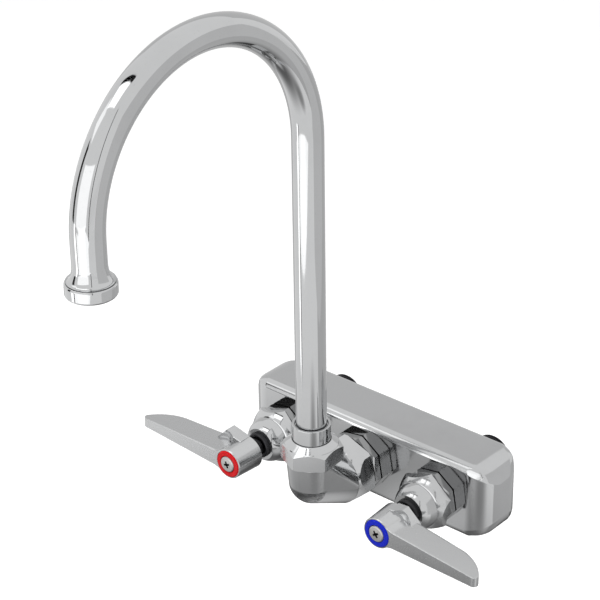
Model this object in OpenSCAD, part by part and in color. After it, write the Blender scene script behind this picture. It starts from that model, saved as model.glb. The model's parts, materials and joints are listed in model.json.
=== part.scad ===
// Commercial wall faucet with a swivelling gooseneck and two lever valves.
// X runs along the body, hot at -X and cold at +X. Y points into the wall, Z up.
// The origin is the middle of the wall face, level with the valve axes.
// A valve's pieces are placed by "out", the distance from the wall face.

/* [Body] */
// Distance from a valve axis to the body's near end
end_overhang = 31; // [28:0.5:45]
// Depth from the wall face to the front face
body_depth = 33; // [32:0.5:40]
// Height of the body casting
body_height = 43.5; // [40:0.5:52]
// Corner radius of the body seen from above
body_corner_r = 10; // [6:0.5:14]
// Corner radius of the body seen from the front
body_end_r = 9; // [5:0.5:14]
// Fillet along the long edges
body_edge_r = 4; // [2:0.25:6]
// Centre distance of the two valves and of the two inlets
valve_spacing = 101.6; // [92:0.1:112]

/* [Inlets] */
// Outer diameter of the inlet pipe thread
inlet_thread_d = 21.3; // [20:0.1:24]
// Bore of the inlet shanks
inlet_bore_d = 14; // [10:0.5:16]
// Length of inlet shank behind the body
inlet_len = 16.5; // [12:0.5:30]
// Length of the plain neck between the body and the free thread
inlet_neck_len = 1; // [0.6:0.1:2]
// Length of inlet shank screwed into the body
inlet_engage = 9; // [7:0.5:10]
// Pitch of the inlet pipe thread
inlet_thread_pitch = 1.8; // [1.4:0.1:2.4]

/* [Ports] */
// Number of flats on a port ring
port_sides = 8; // [6:1:12]
// Port ring size across its flats
port_flats = 28.5; // [28:0.5:34]
// Outlet port ring size across its flats
outlet_port_flats = 32.4; // [30:0.2:34]
// Turn of the port rings
port_turn = 10; // [0:1:59]
// Thickness of each of the two flatted rims
port_rim_t = 4; // [3:0.25:5]
// Width of the groove between the rims
port_groove_w = 1; // [0.6:0.1:1.6]
// Depth of the groove between the rims
port_groove_depth = 2; // [1:0.25:3]
// Diameter of the port ring's thread in the body
port_thread_d = 24; // [23:0.5:26]
// Length of the port ring's thread in the body
port_engage = 9; // [7:0.5:10]
// Bore of a port ring, which takes a bonnet or the elbow
port_bore_d = 19; // [18:0.5:20]
// Thickness of the flat seal on a port ring
gasket_t = 1; // [0.6:0.1:1.6]

/* [Valves] */
// Bonnet size across the hexagon's flats
bonnet_flats = 29; // [26:0.5:31]
// Thickness of the bonnet's hexagon
bonnet_hex_t = 7; // [5:0.5:9]
// Turn of the hot bonnet's hexagon
hot_bonnet_turn = 13; // [0:1:59]
// Turn of the cold bonnet's hexagon
cold_bonnet_turn = 20; // [0:1:59]
// Radius of the crown that chamfers the bonnet's hexagon
bonnet_crown_r = 18.2; // [17:0.1:22]
// Radius of the bonnet's round dome
dome_r = 12.6; // [11:0.1:13.5]
// Depth of the dome's centre behind the hexagon's front
dome_sink = 0.7; // [0:0.1:1.5]
// Height of the dome
dome_h = 8; // [6:0.5:9]
// Length of the bonnet's thread in its port
bonnet_engage = 17; // [14:0.5:17]
// Diameter of the stem where it passes the bonnet
stem_d = 8; // [7:0.25:9]
// Diameter of the collar that holds the stem in
stem_collar_d = 12; // [11:0.25:12.5]
// Diameter of the stem's screw thread inside the plunger
stem_thread_d = 6.4; // [5.5:0.1:7]
// Stem neck showing between the dome and the handle
neck_len = 8; // [7:0.25:12]
// Diameter of the packing nut
packing_nut_d = 14.4; // [12:0.2:16]
// Thickness of the packing nut outside the dome
packing_nut_t = 2.4; // [1.5:0.1:4]
// Depth of the packing pocket in the dome
packing_depth = 4; // [3:0.25:5]
// Outer diameter of the plunger
plunger_d = 13.4; // [12.5:0.1:14]
// Width of the two keys that stop a plunger turning
key_w = 3; // [2:0.25:4]
// Height of the two keys
key_h = 1.2; // [0.8:0.1:1.4]
// Length of the plunger
plunger_len = 14; // [12:0.5:15]
// Thickness of the rubber seat washer
seat_washer_t = 2.2; // [1.5:0.1:3]
// Outer diameter of the valve seat
seat_d = 15; // [13.5:0.25:16]
// Bore of the valve seat
seat_bore_d = 9; // [7:0.25:9.5]
// Height of the valve seat
seat_t = 4.5; // [4:0.25:6]
// Plunger travel from closed to open
plunger_travel = 2.4; // [1.5:0.1:2.6]

/* [Handles] */
// Length of the hub along the stem
hub_len = 17.6; // [14:0.2:20]
// Diameter of the hub's front end
hub_front_d = 16.8; // [16.4:0.2:19]
// Diameter of the hub's back end
hub_back_d = 18.6; // [16:0.2:21]
// Turn of the hot lever upwards at rest
hot_lever_turn = 3; // [-5:0.5:5]
// Turn of the cold lever downwards at rest
cold_lever_turn = 1.5; // [-5:0.5:5]
// Square of the stem inside the lever, across its flats
stem_square = 5.6; // [5.2:0.1:5.6]
// Reach of the lever from the stem axis to its tip
lever_reach = 64; // [50:1:90]
// Width of the lever at its root, measured along the stem
lever_root_w = 16; // [12:0.5:17]
// Slope of the lever's back edge
lever_slope = 10; // [4:0.5:14]
// Radius of the sweep from the back edge round to the tip
lever_sweep_r = 26; // [20:1:32]
// Where the sweep starts, measured from the stem axis
lever_sweep_x = 46; // [30:1:60]
// How far the tip stands forward of the hub
lever_tip_fore = 1.4; // [0:0.2:3]
// Thickness of the lever at its root
lever_root_t = 9.8; // [7:0.2:12]
// Thickness of the lever at its tip
lever_tip_t = 4.4; // [3:0.2:7]
// Depth of the gusset behind the hub
gusset_w = 11.8; // [7:0.2:13]
// Reach of the gusset along the lever
gusset_reach = 15.3; // [13:0.1:20]
// Diameter of the index ring
index_d = 15.5; // [13:0.1:15.6]
// Thickness of the index ring
index_t = 2.6; // [2:0.1:3.5]
// Diameter of the handle screw's head
screw_head_d = 9.2; // [7:0.1:9.5]
// Height of the handle screw's head
screw_head_h = 2; // [1.4:0.1:2.6]
// Diameter of the handle screw's thread
screw_thread_d = 4; // [3:0.1:4.5]
// Length of the handle screw in the stem
screw_engage = 7; // [5:0.5:9]

/* [Elbow and swivel nut] */
// Distance from the wall to the gooseneck's riser
riser_out = 74; // [70:0.5:90]
// Outer diameter of the elbow
elbow_d = 24.4; // [23:0.2:24.8]
// Diameter of the elbow's rim in front of its collar
elbow_rim_d = 32; // [30:0.2:34]
// Thickness of the elbow's rim
elbow_rim_t = 1; // [0.6:0.1:2]
// Height of the centre of the elbow's round bottom above the valve axes
elbow_ball_z = 6.3; // [5:0.1:7]
// Diameter of the elbow's cup at its rim
elbow_cup_d = 26.6; // [25.4:0.2:28]
// Bore of the elbow
elbow_bore_d = 12; // [10:0.25:13]
// Number of wrench flats on the elbow's collar
elbow_sides = 6; // [6:1:10]
// Elbow collar size across its flats
elbow_flats = 32.4; // [26:0.2:34]
// Turn of the elbow's collar
elbow_turn = 40; // [0:1:59]
// Length of the elbow's collar
elbow_collar_len = 12; // [8:0.5:14]
// Radius of the crown that rounds the collar's front
elbow_crown_r = 19.5; // [18.5:0.5:30]
// Height of the elbow's rim above the valve axes
elbow_rim_z = 20; // [18:0.25:22]
// Swivel nut size across the hexagon's flats
nut_flats = 28.4; // [27:0.2:31]
// Height of the swivel nut
nut_h = 12.3; // [12:0.1:18]
// Height of the nut's hexagon
nut_hex_h = 9.2; // [8:0.1:10]
// Turn of the swivel nut's hexagon
nut_turn = 34.8; // [0:0.2:59]
// Diameter of the nut's round shoulder
nut_shoulder_d = 28.8; // [26:0.2:29]
// Diameter of the nut's top
nut_top_d = 22; // [21.8:0.1:24]
// Diameter of the elbow's thread in the nut
nut_thread_d = 24; // [23.4:0.2:24.4]

/* [Gooseneck] */
// Outer diameter of the gooseneck tube
tube_d = 15.9; // [15:0.1:17]
// Wall of the gooseneck tube
tube_wall = 1.1; // [0.8:0.1:1.6]
// Centre distance from the riser to the outlet
spout_reach = 144; // [110:1:200]
// Height of the arch's centre above the valve axes
arch_z = 199; // [150:1:260]
// Straight tube below the arch on the outlet side
drop_len = 18.4; // [16:0.1:60]
// Outer diameter of the swivel sleeve
sleeve_d = 20; // [19.4:0.1:21]
// Height of sleeve above the nut
sleeve_h = 8.7; // [8:0.1:16]
// Diameter of the sleeve's foot inside the elbow
foot_d = 17.6; // [17:0.1:18.2]
// Length of the sleeve's foot
foot_len = 19; // [18:0.5:20]
// Height of the flare at the outlet
flare_h = 7.5; // [5:0.25:9]
// Diameter of the flare's end
flare_d = 22.4; // [20:0.2:24]
// Diameter of the outlet collar
collar_d = 23.8; // [22:0.2:26]
// Height of the outlet collar
collar_h = 6.3; // [5.5:0.1:9]
// Gap showing between flare and collar
collar_gap = 0.5; // [0.3:0.1:1]
// Diameter of the tube's outlet thread
outlet_thread_d = 20.4; // [19:0.2:21]

/* [Hidden] */

$fn = 96;
// Radial clearances of a screwed fit, a turning fit and a free gap
screwed = 0.05;
turning = 0.06;
free_gap = 0.3;
// Overcut that keeps cuts from ending on a face
over = 1;
HOT = -1;
COLD = 1;

chrome = [0.78, 0.79, 0.8];
brass = [0.74, 0.6, 0.3];
dark_steel = [0.22, 0.22, 0.23];
steel = [0.62, 0.63, 0.64];
rubber = [0.08, 0.08, 0.08];
red = [0.85, 0.06, 0.06];
blue = [0.06, 0.14, 0.8];

valve_x = valve_spacing / 2;
body_len = valve_spacing + 2 * end_overhang;
// Neck and inner thread are as deep as the free thread's roots
inlet_neck_d = inlet_thread_d - inlet_thread_pitch / 2;
// The bore opens wider than the thread's crests where it meets the wall
inlet_mouth_d = inlet_thread_d + inlet_thread_pitch / 2;
inlet_mouth_t = 0.8;
// Positions along a valve, measured out from the wall face
rim_b_out = body_depth + port_rim_t + port_groove_w;
port_face = rim_b_out + port_rim_t;
port_inner = body_depth - port_engage;
key_gap = 0.15;
bonnet_back = port_face + gasket_t;
hex_front = bonnet_back + bonnet_hex_t;
dome_front = hex_front + dome_h;
hub_back = dome_front + neck_len;
hub_front = hub_back + hub_len;
bonnet_inner = bonnet_back - bonnet_engage;
// The seat stands on the web between the inlet and the valve chamber
web_t = 2;
seat_back = inlet_engage + web_t;
seat_front = seat_back + seat_t;
seat_gap = 0.1;
washer_back = seat_front + seat_gap;
plunger_back = washer_back + seat_washer_t;
plunger_front = plunger_back + plunger_len;
stem_collar_t = 2;
collar_back = plunger_front + plunger_travel + free_gap;
collar_front = collar_back + stem_collar_t;
chamber_d = seat_d + 2 * screwed;
passage_d = 7.5;
passage_out = port_inner - passage_d / 2;
outlet_well_out = passage_out - passage_d / 2;
bonnet_thread_d = port_bore_d - 2 * screwed;
plunger_bore_d = plunger_d + 2 * turning;
packing_pocket_d = packing_nut_d - 3.4;
packing_t = 1.6;
index_seat = hub_front - index_t + 0.6;
screw_seat = index_seat + 1.2;
stem_front = screw_seat - 1.2;
seal_out = (collar_front + dome_front - packing_depth) / 2;
lever_back = hub_front - lever_root_w;
lever_root_x = hub_back_d / 4;
// The sweep touches the sloping back edge where it starts
sweep_centre = [lever_sweep_x - lever_sweep_r * sin(lever_slope), lever_back
    + (lever_sweep_x - gusset_reach) * tan(lever_slope) + lever_sweep_r * cos(lever_slope)];
gusset_z = hub_back_d / 2;

// The elbow's rim stands in front of its collar, and its waterway turns inside the round bottom
elbow_rim_back = bonnet_back + elbow_collar_len;
elbow_cup_z = elbow_rim_z - 9;
bore_turn = 2;

// Heights of the swivel joint
nut_top = elbow_rim_z + nut_h;
nut_shoulder_z = elbow_rim_z + nut_hex_h;
nut_lip_t = 3;
lip_under = nut_top - nut_lip_t;
bush_t = 1.2;
ring_t = 1.6;
ring_top = lip_under - free_gap;
ring_bottom = ring_top - ring_t;
bush_top = ring_bottom - free_gap;
neck_top = bush_top - bush_t;
sleeve_top = nut_top + sleeve_h;
shoulder_z = lip_under + free_gap;
foot_bottom = ring_bottom - foot_len + ring_t;
tube_foot_z = shoulder_z + 2;
socket_d = foot_d + 2 * turning;
sleeve_bore_d = foot_d - 4.6;
arch_r = spout_reach / 2;
outlet_end_z = arch_z - drop_len;
flare_top_z = outlet_end_z + flare_h;
collar_top_z = outlet_end_z - collar_gap;
collar_bottom_z = collar_top_z - collar_h;
tube_bore_d = tube_d - 2 * tube_wall;
o_ring_d = 1.8;
o_ring_z = [foot_bottom + 3.2, foot_bottom + 9.2];
ledge_t = 1.2;
outlet_bore_d = outlet_thread_d - 2.4;

function apothem_to_corner(flats, sides) = flats / 2 / cos(180 / sides);

// Puts a child that is drawn along +Z on a valve axis, with Z running out of the wall
module on_axis(x) translate([x, 0, 0]) rotate([90, 0, 0]) children();

module on_riser() translate([0, -riser_out, 0]) children();

module at_outlet() translate([0, -riser_out - spout_reach, 0]) children();

module rod(d, from, to) translate([0, 0, from]) cylinder(d = d, h = to - from);

module pipe(d, bore, from, to) difference() {
    rod(d, from, to);
    rod(bore, from - over, to + over);
}

module cone(d1, d2, from, to) translate([0, 0, from]) cylinder(d1 = d1, d2 = d2, h = to - from);

module prism(flats, sides, from, to) translate([0, 0, from]) rotate([0, 0, 180 / sides])
    cylinder(r = apothem_to_corner(flats, sides), h = to - from, $fn = sides);

// Rectangle with round corners, centred
module soft_rect(w, h, r) {
    square([w - 2 * r, h], center = true);
    square([w, h - 2 * r], center = true);
    for (x = [-1, 1], y = [-1, 1]) translate([x * (w / 2 - r), y * (h / 2 - r)]) circle(r = r);
}

module body_block() intersection() {
    translate([0, -body_depth / 2, -body_height / 2])
        linear_extrude(body_height) soft_rect(body_len, body_depth, body_corner_r);
    rotate([90, 0, 0]) linear_extrude(body_depth)
        soft_rect(body_len, body_height, body_end_r);
    translate([-body_len / 2, -body_depth / 2, 0]) rotate([90, 0, 90])
        linear_extrude(body_len) soft_rect(body_depth, body_height, body_edge_r);
}

module faucet_body() color(chrome) difference() {
    body_block();
    for (x = [-valve_x, valve_x]) on_axis(x) {
        rod(inlet_neck_d + 2 * screwed, -over, inlet_engage);
        rod(inlet_mouth_d, -over, inlet_mouth_t);
        rod(inlet_bore_d, 0, seat_back);
        rod(chamber_d, seat_back, port_inner + over);
        rod(port_thread_d + 2 * screwed, port_inner, body_depth + over);
    }
    on_axis(0) rod(port_thread_d + 2 * screwed, port_inner, body_depth + over);
    on_axis(0) rod(elbow_bore_d, outlet_well_out, port_inner + over);
    translate([-valve_x, -passage_out, 0]) rotate([0, 90, 0])
        cylinder(d = passage_d, h = valve_spacing);
}

// Shallow crests and roots stand for the pipe thread
module inlet_shank(side) color(dark_steel) on_axis(side * valve_x) {
    crest = inlet_thread_pitch / 2;
    turns = floor((inlet_len - inlet_neck_len - crest) / inlet_thread_pitch);
    difference() {
        union() {
            rod(inlet_thread_d, -inlet_len, -inlet_neck_len);
            rod(inlet_neck_d, -inlet_neck_len - over, inlet_engage);
        }
        rod(inlet_bore_d, -inlet_len - over, inlet_engage + over);
        for (i = [0 : turns - 1]) translate([0, 0, -inlet_len + crest + i * inlet_thread_pitch])
            thread_groove(inlet_thread_d, crest);
    }
}

module thread_groove(d, w) difference() {
    cylinder(d = d + over, h = w);
    translate([0, 0, -over]) cylinder(d = d - w, h = w + 2 * over);
}

module port_ring(x, flats) color(chrome) on_axis(x) difference() {
    union() {
        rod(port_thread_d, port_inner, body_depth);
        rotate([0, 0, port_turn])
            prism(flats, port_sides, body_depth, body_depth + port_rim_t);
        rod(flats - 2 * port_groove_depth, body_depth, port_face);
        intersection() {
            rotate([0, 0, port_turn]) prism(flats, port_sides, rim_b_out, port_face);
            cone(flats + 2 * port_rim_t + 1, flats + 1, rim_b_out, port_face);
        }
    }
    rod(port_bore_d, port_inner - over, port_face + over);
}

module valve_seat(side) color(brass) on_axis(side * valve_x)
    pipe(seat_d, seat_bore_d, seat_back, seat_front);

module port_gasket(x, flats) color(rubber) on_axis(x)
    pipe(flats - 2 * port_groove_depth, port_bore_d, port_face, bonnet_back);

// Hexagon whose corners are at turn + 60 k degrees
module hexagon(flats, turn, from, to) rotate([0, 0, turn - 30]) prism(flats, 6, from, to);

module bonnet_shell(turn) {
    rod(bonnet_thread_d, bonnet_inner, bonnet_back + over);
    intersection() {
        hexagon(bonnet_flats, turn, bonnet_back, hex_front);
        translate([0, 0, hex_front - sqrt(pow(bonnet_crown_r, 2) - pow(dome_r, 2))])
            sphere(r = bonnet_crown_r);
    }
    intersection() {
        translate([0, 0, hex_front - dome_sink]) sphere(r = dome_r);
        rod(3 * dome_r, bonnet_back, dome_front);
    }
}

module bonnet(side, turn) color(chrome) on_axis(side * valve_x) difference() {
    bonnet_shell(turn);
    rod(plunger_bore_d, bonnet_inner - over, collar_front + turning);
    key_slots(bonnet_inner - over, collar_front, key_gap);
    rod(stem_d + 2 * turning, bonnet_inner, dome_front + over);
    rod(packing_pocket_d, dome_front - packing_depth, dome_front + over);
}

// Two bars across the plunger's bore, as keys or, with a gap round them, as slots
module key_slots(from, to, gap) translate([0, 0, (from + to) / 2])
    cube([plunger_d + 2 * key_h + 2 * gap, key_w + 2 * gap, to - from], center = true);

module packing(side) color(rubber) on_axis(side * valve_x)
    pipe(packing_pocket_d - 2 * screwed, stem_d + 2 * turning,
        dome_front - packing_depth, dome_front - packing_depth + packing_t);

module packing_nut(side) color(dark_steel) on_axis(side * valve_x) difference() {
    union() {
        rod(packing_pocket_d - 2 * screwed, dome_front - packing_depth + packing_t, dome_front);
        rod(packing_nut_d, dome_front, dome_front + packing_nut_t);
    }
    rod(stem_d + 2 * turning, 0, hub_back);
}

module stem(side, turn) color(dark_steel) on_axis(side * valve_x) rotate([0, 0, -turn])
difference() {
    union() {
        rod(stem_thread_d, plunger_back + 4, collar_back);
        rod(stem_collar_d, collar_back, collar_front);
        rod(stem_d, collar_front, hub_back);
        stem_end(stem_square, stem_front);
        rod(stem_d + 2, dome_front + packing_nut_t + free_gap, hub_back);
    }
    translate([0, 0, seal_out]) seal_groove();
    rod(screw_thread_d + 2 * screwed, stem_front - screw_engage - over, stem_front + over);
}

// Square end that turns the stem with its lever
module stem_end(flats, front) translate([-flats / 2, -flats / 2, hub_back - over])
    cube([flats, flats, front - hub_back + over]);

module seal_groove() difference() {
    rod(stem_d + over, -o_ring_d / 2 - screwed, o_ring_d / 2 + screwed);
    rod(stem_d - 2 * o_ring_d + 2 * turning, -o_ring_d, o_ring_d);
}

module stem_seal(side) color(rubber) on_axis(side * valve_x) translate([0, 0, seal_out])
    rotate_extrude() translate([stem_d / 2 - o_ring_d / 2 + turning / 2, 0])
        circle(d = o_ring_d - turning, $fn = 24);

module plunger(side) color(brass) on_axis(side * valve_x) difference() {
    union() {
        rod(plunger_d, plunger_back, plunger_front);
        key_slots(bonnet_inner + free_gap, plunger_front, 0);
    }
    rod(stem_thread_d + 2 * screwed, plunger_back + 3.5 - plunger_travel, plunger_front + over);
    rod(2.6, plunger_back - over, plunger_back + 4);
}

module seat_washer(side) color(rubber) on_axis(side * valve_x)
    pipe(plunger_d - 1, 2.6, washer_back, plunger_back);

module washer_screw(side) color(brass) on_axis(side * valve_x) {
    rod(5, washer_back - 1.2, washer_back);
    rod(2.5, washer_back, plunger_back + 1);
}

// Lever outline seen from above: x along the blade, y out from the wall
module lever_plan() {
    far_back = lever_back + (lever_reach - gusset_reach) * tan(lever_slope);
    intersection() {
        polygon([[lever_root_x, lever_back], [gusset_reach, lever_back], [lever_reach, far_back],
            [lever_reach, hub_front + lever_tip_fore], [lever_root_x, hub_front]]);
        union() {
            square([lever_sweep_x, 2 * hub_front]);
            translate([sweep_centre[0], sweep_centre[1]]) circle(r = lever_sweep_r);
        }
    }
}

// Lever thickness seen from the front
module lever_side() polygon([[0, -lever_root_t / 2], [lever_reach, -lever_tip_t / 2],
    [lever_reach, lever_tip_t / 2], [0, lever_root_t / 2]]);

module lever_gusset() linear_extrude(gusset_w) polygon([[0, -gusset_z], [gusset_reach / 2,
    -gusset_z], [gusset_reach, -lever_root_t * 0.43], [gusset_reach, lever_root_t * 0.43],
    [gusset_reach / 2, gusset_z], [0, gusset_z]]);

module lever(side, turn) color(chrome) on_axis(side * valve_x) rotate([0, 0, -turn])
mirror([side < 0 ? 1 : 0, 0, 0]) difference() {
    union() {
        cone(hub_back_d, hub_front_d, hub_back, hub_front);
        translate([0, 0, hub_back]) lever_gusset();
        intersection() {
            translate([0, lever_root_t, 0]) rotate([90, 0, 0])
                linear_extrude(2 * lever_root_t) lever_plan();
            linear_extrude(hub_front + lever_tip_fore) lever_side();
        }
    }
    stem_end(stem_square + 2 * screwed, stem_front + over);
    rod(screw_thread_d + 2 * screwed, hub_back, hub_front + over);
    rod(index_d + 2 * screwed, index_seat, hub_front + over);
}

module index_ring(side, tint) color(tint) on_axis(side * valve_x) difference() {
    cone(index_d, index_d - 1.2, index_seat, index_seat + index_t);
    rod(screw_thread_d + 2 * screwed, index_seat - over, index_seat + index_t + over);
    rod(screw_head_d + 0.6, screw_seat, index_seat + index_t + over);
}

module handle_screw(side) color(steel) on_axis(side * valve_x) difference() {
    union() {
        rod(screw_thread_d, stem_front - screw_engage, screw_seat);
        rod(screw_head_d, screw_seat, screw_seat + screw_head_h / 2);
        cone(screw_head_d, screw_head_d * 0.8, screw_seat + screw_head_h / 2,
            screw_seat + screw_head_h);
    }
    for (a = [20, 110]) rotate([0, 0, a]) translate([0, 0, screw_seat + screw_head_h])
        cube([screw_head_d * 0.55, 1, screw_head_h * 1.3], center = true);
}

// Elbow: thread and collar out of the port, a bend, and a socket for the gooseneck
module outlet_elbow() color(chrome) difference() {
    union() {
        on_axis(0) rod(bonnet_thread_d, bonnet_inner, bonnet_back + over);
        on_axis(0) elbow_collar();
        elbow_knuckle();
        on_riser() cone(elbow_d, elbow_cup_d, elbow_cup_z, elbow_rim_z);
        on_riser() rod(nut_thread_d, elbow_rim_z - over, neck_top);
    }
    on_axis(0) rod(elbow_bore_d, bonnet_inner - over, riser_out - bore_turn);
    on_riser() rod(socket_d, foot_bottom - free_gap, neck_top + over);
    on_riser() rod(elbow_bore_d, -bore_turn, neck_top);
}

// The elbow's round-bottomed body, drawn out from the rim to the upright cup
module elbow_knuckle() hull() {
    on_axis(0) rod(elbow_rim_d, elbow_rim_back, elbow_rim_back + elbow_rim_t, $fn = 32);
    on_riser() translate([0, 0, elbow_ball_z]) sphere(d = elbow_d, $fn = 32);
    on_riser() rod(elbow_d, elbow_ball_z, elbow_cup_z + over, $fn = 32);
}

module elbow_collar() intersection() {
    rotate([0, 0, elbow_turn - 180 / elbow_sides])
        prism(elbow_flats, elbow_sides, bonnet_back, elbow_rim_back + over);
    translate([0, 0, bonnet_back]) sphere(r = elbow_crown_r);
}

module swivel_nut() color(chrome) on_riser() difference() {
    union() {
        intersection() {
            hexagon(nut_flats, nut_turn, elbow_rim_z, nut_shoulder_z);
            cone(nut_shoulder_d + 3 * nut_hex_h, nut_shoulder_d, elbow_rim_z, nut_shoulder_z);
        }
        cone(nut_shoulder_d, nut_top_d, nut_shoulder_z, nut_top);
    }
    rod(nut_thread_d + 2 * screwed, elbow_rim_z - over, lip_under);
    rod(sleeve_d + 2 * free_gap, lip_under - over, nut_top + over);
}

module swivel_bush() color(rubber) on_riser()
    pipe(nut_thread_d - 2 * screwed, foot_d + 2 * turning, neck_top, bush_top);

module swivel_sleeve() color(chrome) on_riser() difference() {
    union() {
        rod(sleeve_d, shoulder_z, sleeve_top);
        rod(foot_d, foot_bottom, shoulder_z + over);
    }
    rod(sleeve_bore_d, foot_bottom - over, shoulder_z + over);
    rod(tube_d + 2 * screwed, tube_foot_z, sleeve_top + over);
    rod(tube_bore_d, shoulder_z, tube_foot_z + over);
    rod(tube_d + 1.4, sleeve_top - 1.6, sleeve_top + over);
    for (z = o_ring_z) translate([0, 0, z]) foot_groove(o_ring_d + 2 * screwed, 2 * o_ring_d);
    translate([0, 0, (ring_bottom + ring_top) / 2]) foot_groove(ring_t + 2 * screwed, 2);
}

// Ring-shaped cut in the sleeve's foot, w high and cut by depth on the diameter
module foot_groove(w, depth) difference() {
    rod(foot_d + over, -w / 2, w / 2);
    rod(foot_d - depth + 2 * screwed, -w, w);
}

module retaining_ring() color(steel) on_riser() difference() {
    pipe(nut_thread_d - 2 * free_gap, foot_d - 2 + 4 * screwed, ring_bottom, ring_top);
    translate([0, nut_thread_d / 2, ring_bottom]) cube([2, nut_thread_d, 4 * ring_t],
        center = true);
}

module swivel_o_rings() color(rubber) on_riser() for (z = o_ring_z) translate([0, 0, z])
    rotate_extrude() translate([foot_d / 2 - o_ring_d / 2 + turning / 2, 0])
        circle(d = o_ring_d - turning, $fn = 24);

// Quarter-round profile of the flare, from the tube out to the flare's end
function flare_points(steps) = [for (i = [0 : steps]) let (a = 90 * i / steps)
    [tube_d / 2 + (flare_d - tube_d) / 2 * (1 - cos(a)), flare_top_z - flare_h * sin(a)]];

module flare() rotate_extrude() polygon(concat([[tube_d / 2 - 0.5, flare_top_z]],
    flare_points(8), [[tube_d / 2 - 0.5, outlet_end_z]]));

module gooseneck_tube() color(chrome) difference() {
    union() {
        on_riser() rod(tube_d, tube_foot_z, arch_z);
        arch(tube_d);
        at_outlet() rod(tube_d, outlet_end_z, arch_z);
        at_outlet() flare();
        at_outlet() rod(outlet_thread_d, collar_bottom_z + ledge_t + 2.4, outlet_end_z);
    }
    on_riser() rod(tube_bore_d, tube_foot_z - over, arch_z);
    arch(tube_bore_d);
    at_outlet() rod(tube_bore_d, collar_bottom_z, arch_z);
}

module arch(d) translate([0, -riser_out - arch_r, arch_z]) rotate([90, 0, 90])
    rotate_extrude(angle = 180) translate([arch_r, 0]) circle(d = d);

module outlet_collar() color(chrome) at_outlet() difference() {
    union() {
        cone(collar_d - 1, collar_d, collar_bottom_z, collar_bottom_z + 0.8);
        rod(collar_d, collar_bottom_z + 0.8, collar_top_z - 0.8);
        cone(collar_d, collar_d - 1, collar_top_z - 0.8, collar_top_z);
    }
    rod(outlet_thread_d + 2 * screwed, collar_bottom_z + ledge_t, collar_top_z + over);
    rod(outlet_bore_d, collar_bottom_z - over, collar_top_z);
}

module outlet_washer() color(rubber) at_outlet() pipe(outlet_thread_d - 2 * screwed,
    tube_bore_d, collar_bottom_z + ledge_t + 1.2, collar_bottom_z + ledge_t + 2.4);

// Flow straightener: a plate with a ring of round holes
module stream_screen() color(steel) at_outlet() difference() {
    rod(outlet_thread_d - 2 * screwed, collar_bottom_z + ledge_t, collar_bottom_z + ledge_t + 1.2);
    rod(2.4, collar_bottom_z, collar_top_z);
    for (i = [0 : 5]) rotate([0, 0, 60 * i]) translate([3.6, 0, 0])
        rod(2.4, collar_bottom_z, collar_top_z);
    for (i = [0 : 11]) rotate([0, 0, 30 * i]) translate([6.6, 0, 0])
        rod(2.4, collar_bottom_z, collar_top_z);
}

module hot_inlet_shank() inlet_shank(HOT);
module cold_inlet_shank() inlet_shank(COLD);
module hot_port_ring() port_ring(-valve_x, port_flats);
module cold_port_ring() port_ring(valve_x, port_flats);
module outlet_port_ring() port_ring(0, outlet_port_flats);
module hot_valve_seat() valve_seat(HOT);
module cold_valve_seat() valve_seat(COLD);
module hot_bonnet_gasket() port_gasket(-valve_x, port_flats);
module cold_bonnet_gasket() port_gasket(valve_x, port_flats);
module elbow_gasket() port_gasket(0, outlet_port_flats);
module hot_bonnet() bonnet(HOT, hot_bonnet_turn);
module cold_bonnet() bonnet(COLD, cold_bonnet_turn);
module hot_packing() packing(HOT);
module cold_packing() packing(COLD);
module hot_packing_nut() packing_nut(HOT);
module cold_packing_nut() packing_nut(COLD);
module hot_lever() lever(HOT, hot_lever_turn);
module cold_lever() lever(COLD, cold_lever_turn);
module hot_index_ring() index_ring(HOT, red);
module cold_index_ring() index_ring(COLD, blue);
module hot_handle_screw() handle_screw(HOT);
module cold_handle_screw() handle_screw(COLD);
module hot_stem() stem(HOT, hot_lever_turn);
module cold_stem() stem(COLD, cold_lever_turn);
module hot_stem_seal() stem_seal(HOT);
module cold_stem_seal() stem_seal(COLD);
module hot_plunger() plunger(HOT);
module cold_plunger() plunger(COLD);
module hot_seat_washer() seat_washer(HOT);
module cold_seat_washer() seat_washer(COLD);
module hot_washer_screw() washer_screw(HOT);
module cold_washer_screw() washer_screw(COLD);

faucet_body();
hot_inlet_shank();
cold_inlet_shank();
hot_port_ring();
cold_port_ring();
outlet_port_ring();
hot_valve_seat();
cold_valve_seat();
hot_bonnet_gasket();
cold_bonnet_gasket();
elbow_gasket();
hot_bonnet();
cold_bonnet();
hot_packing();
cold_packing();
hot_packing_nut();
cold_packing_nut();
outlet_elbow();
swivel_nut();
swivel_bush();
gooseneck_tube();
swivel_sleeve();
retaining_ring();
swivel_o_rings();
outlet_collar();
outlet_washer();
stream_screen();
hot_lever();
cold_lever();
hot_index_ring();
cold_index_ring();
hot_handle_screw();
cold_handle_screw();
hot_stem();
cold_stem();
hot_stem_seal();
cold_stem_seal();
hot_plunger();
cold_plunger();
hot_seat_washer();
cold_seat_washer();
hot_washer_screw();
cold_washer_screw();
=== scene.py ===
"""Commercial wall faucet: the polished pieces, their finishes, the studio and the camera.

Metres, X along the body with hot at -X, Y into the wall, Z up. Round pieces are turned about a
local Z axis whose height is the distance out of the wall, or up the riser, and then placed.
"""

import json
import math

import bmesh
import bpy
from bmesh.types import BMEdge, BMVert
from mathutils import Matrix, Vector


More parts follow.
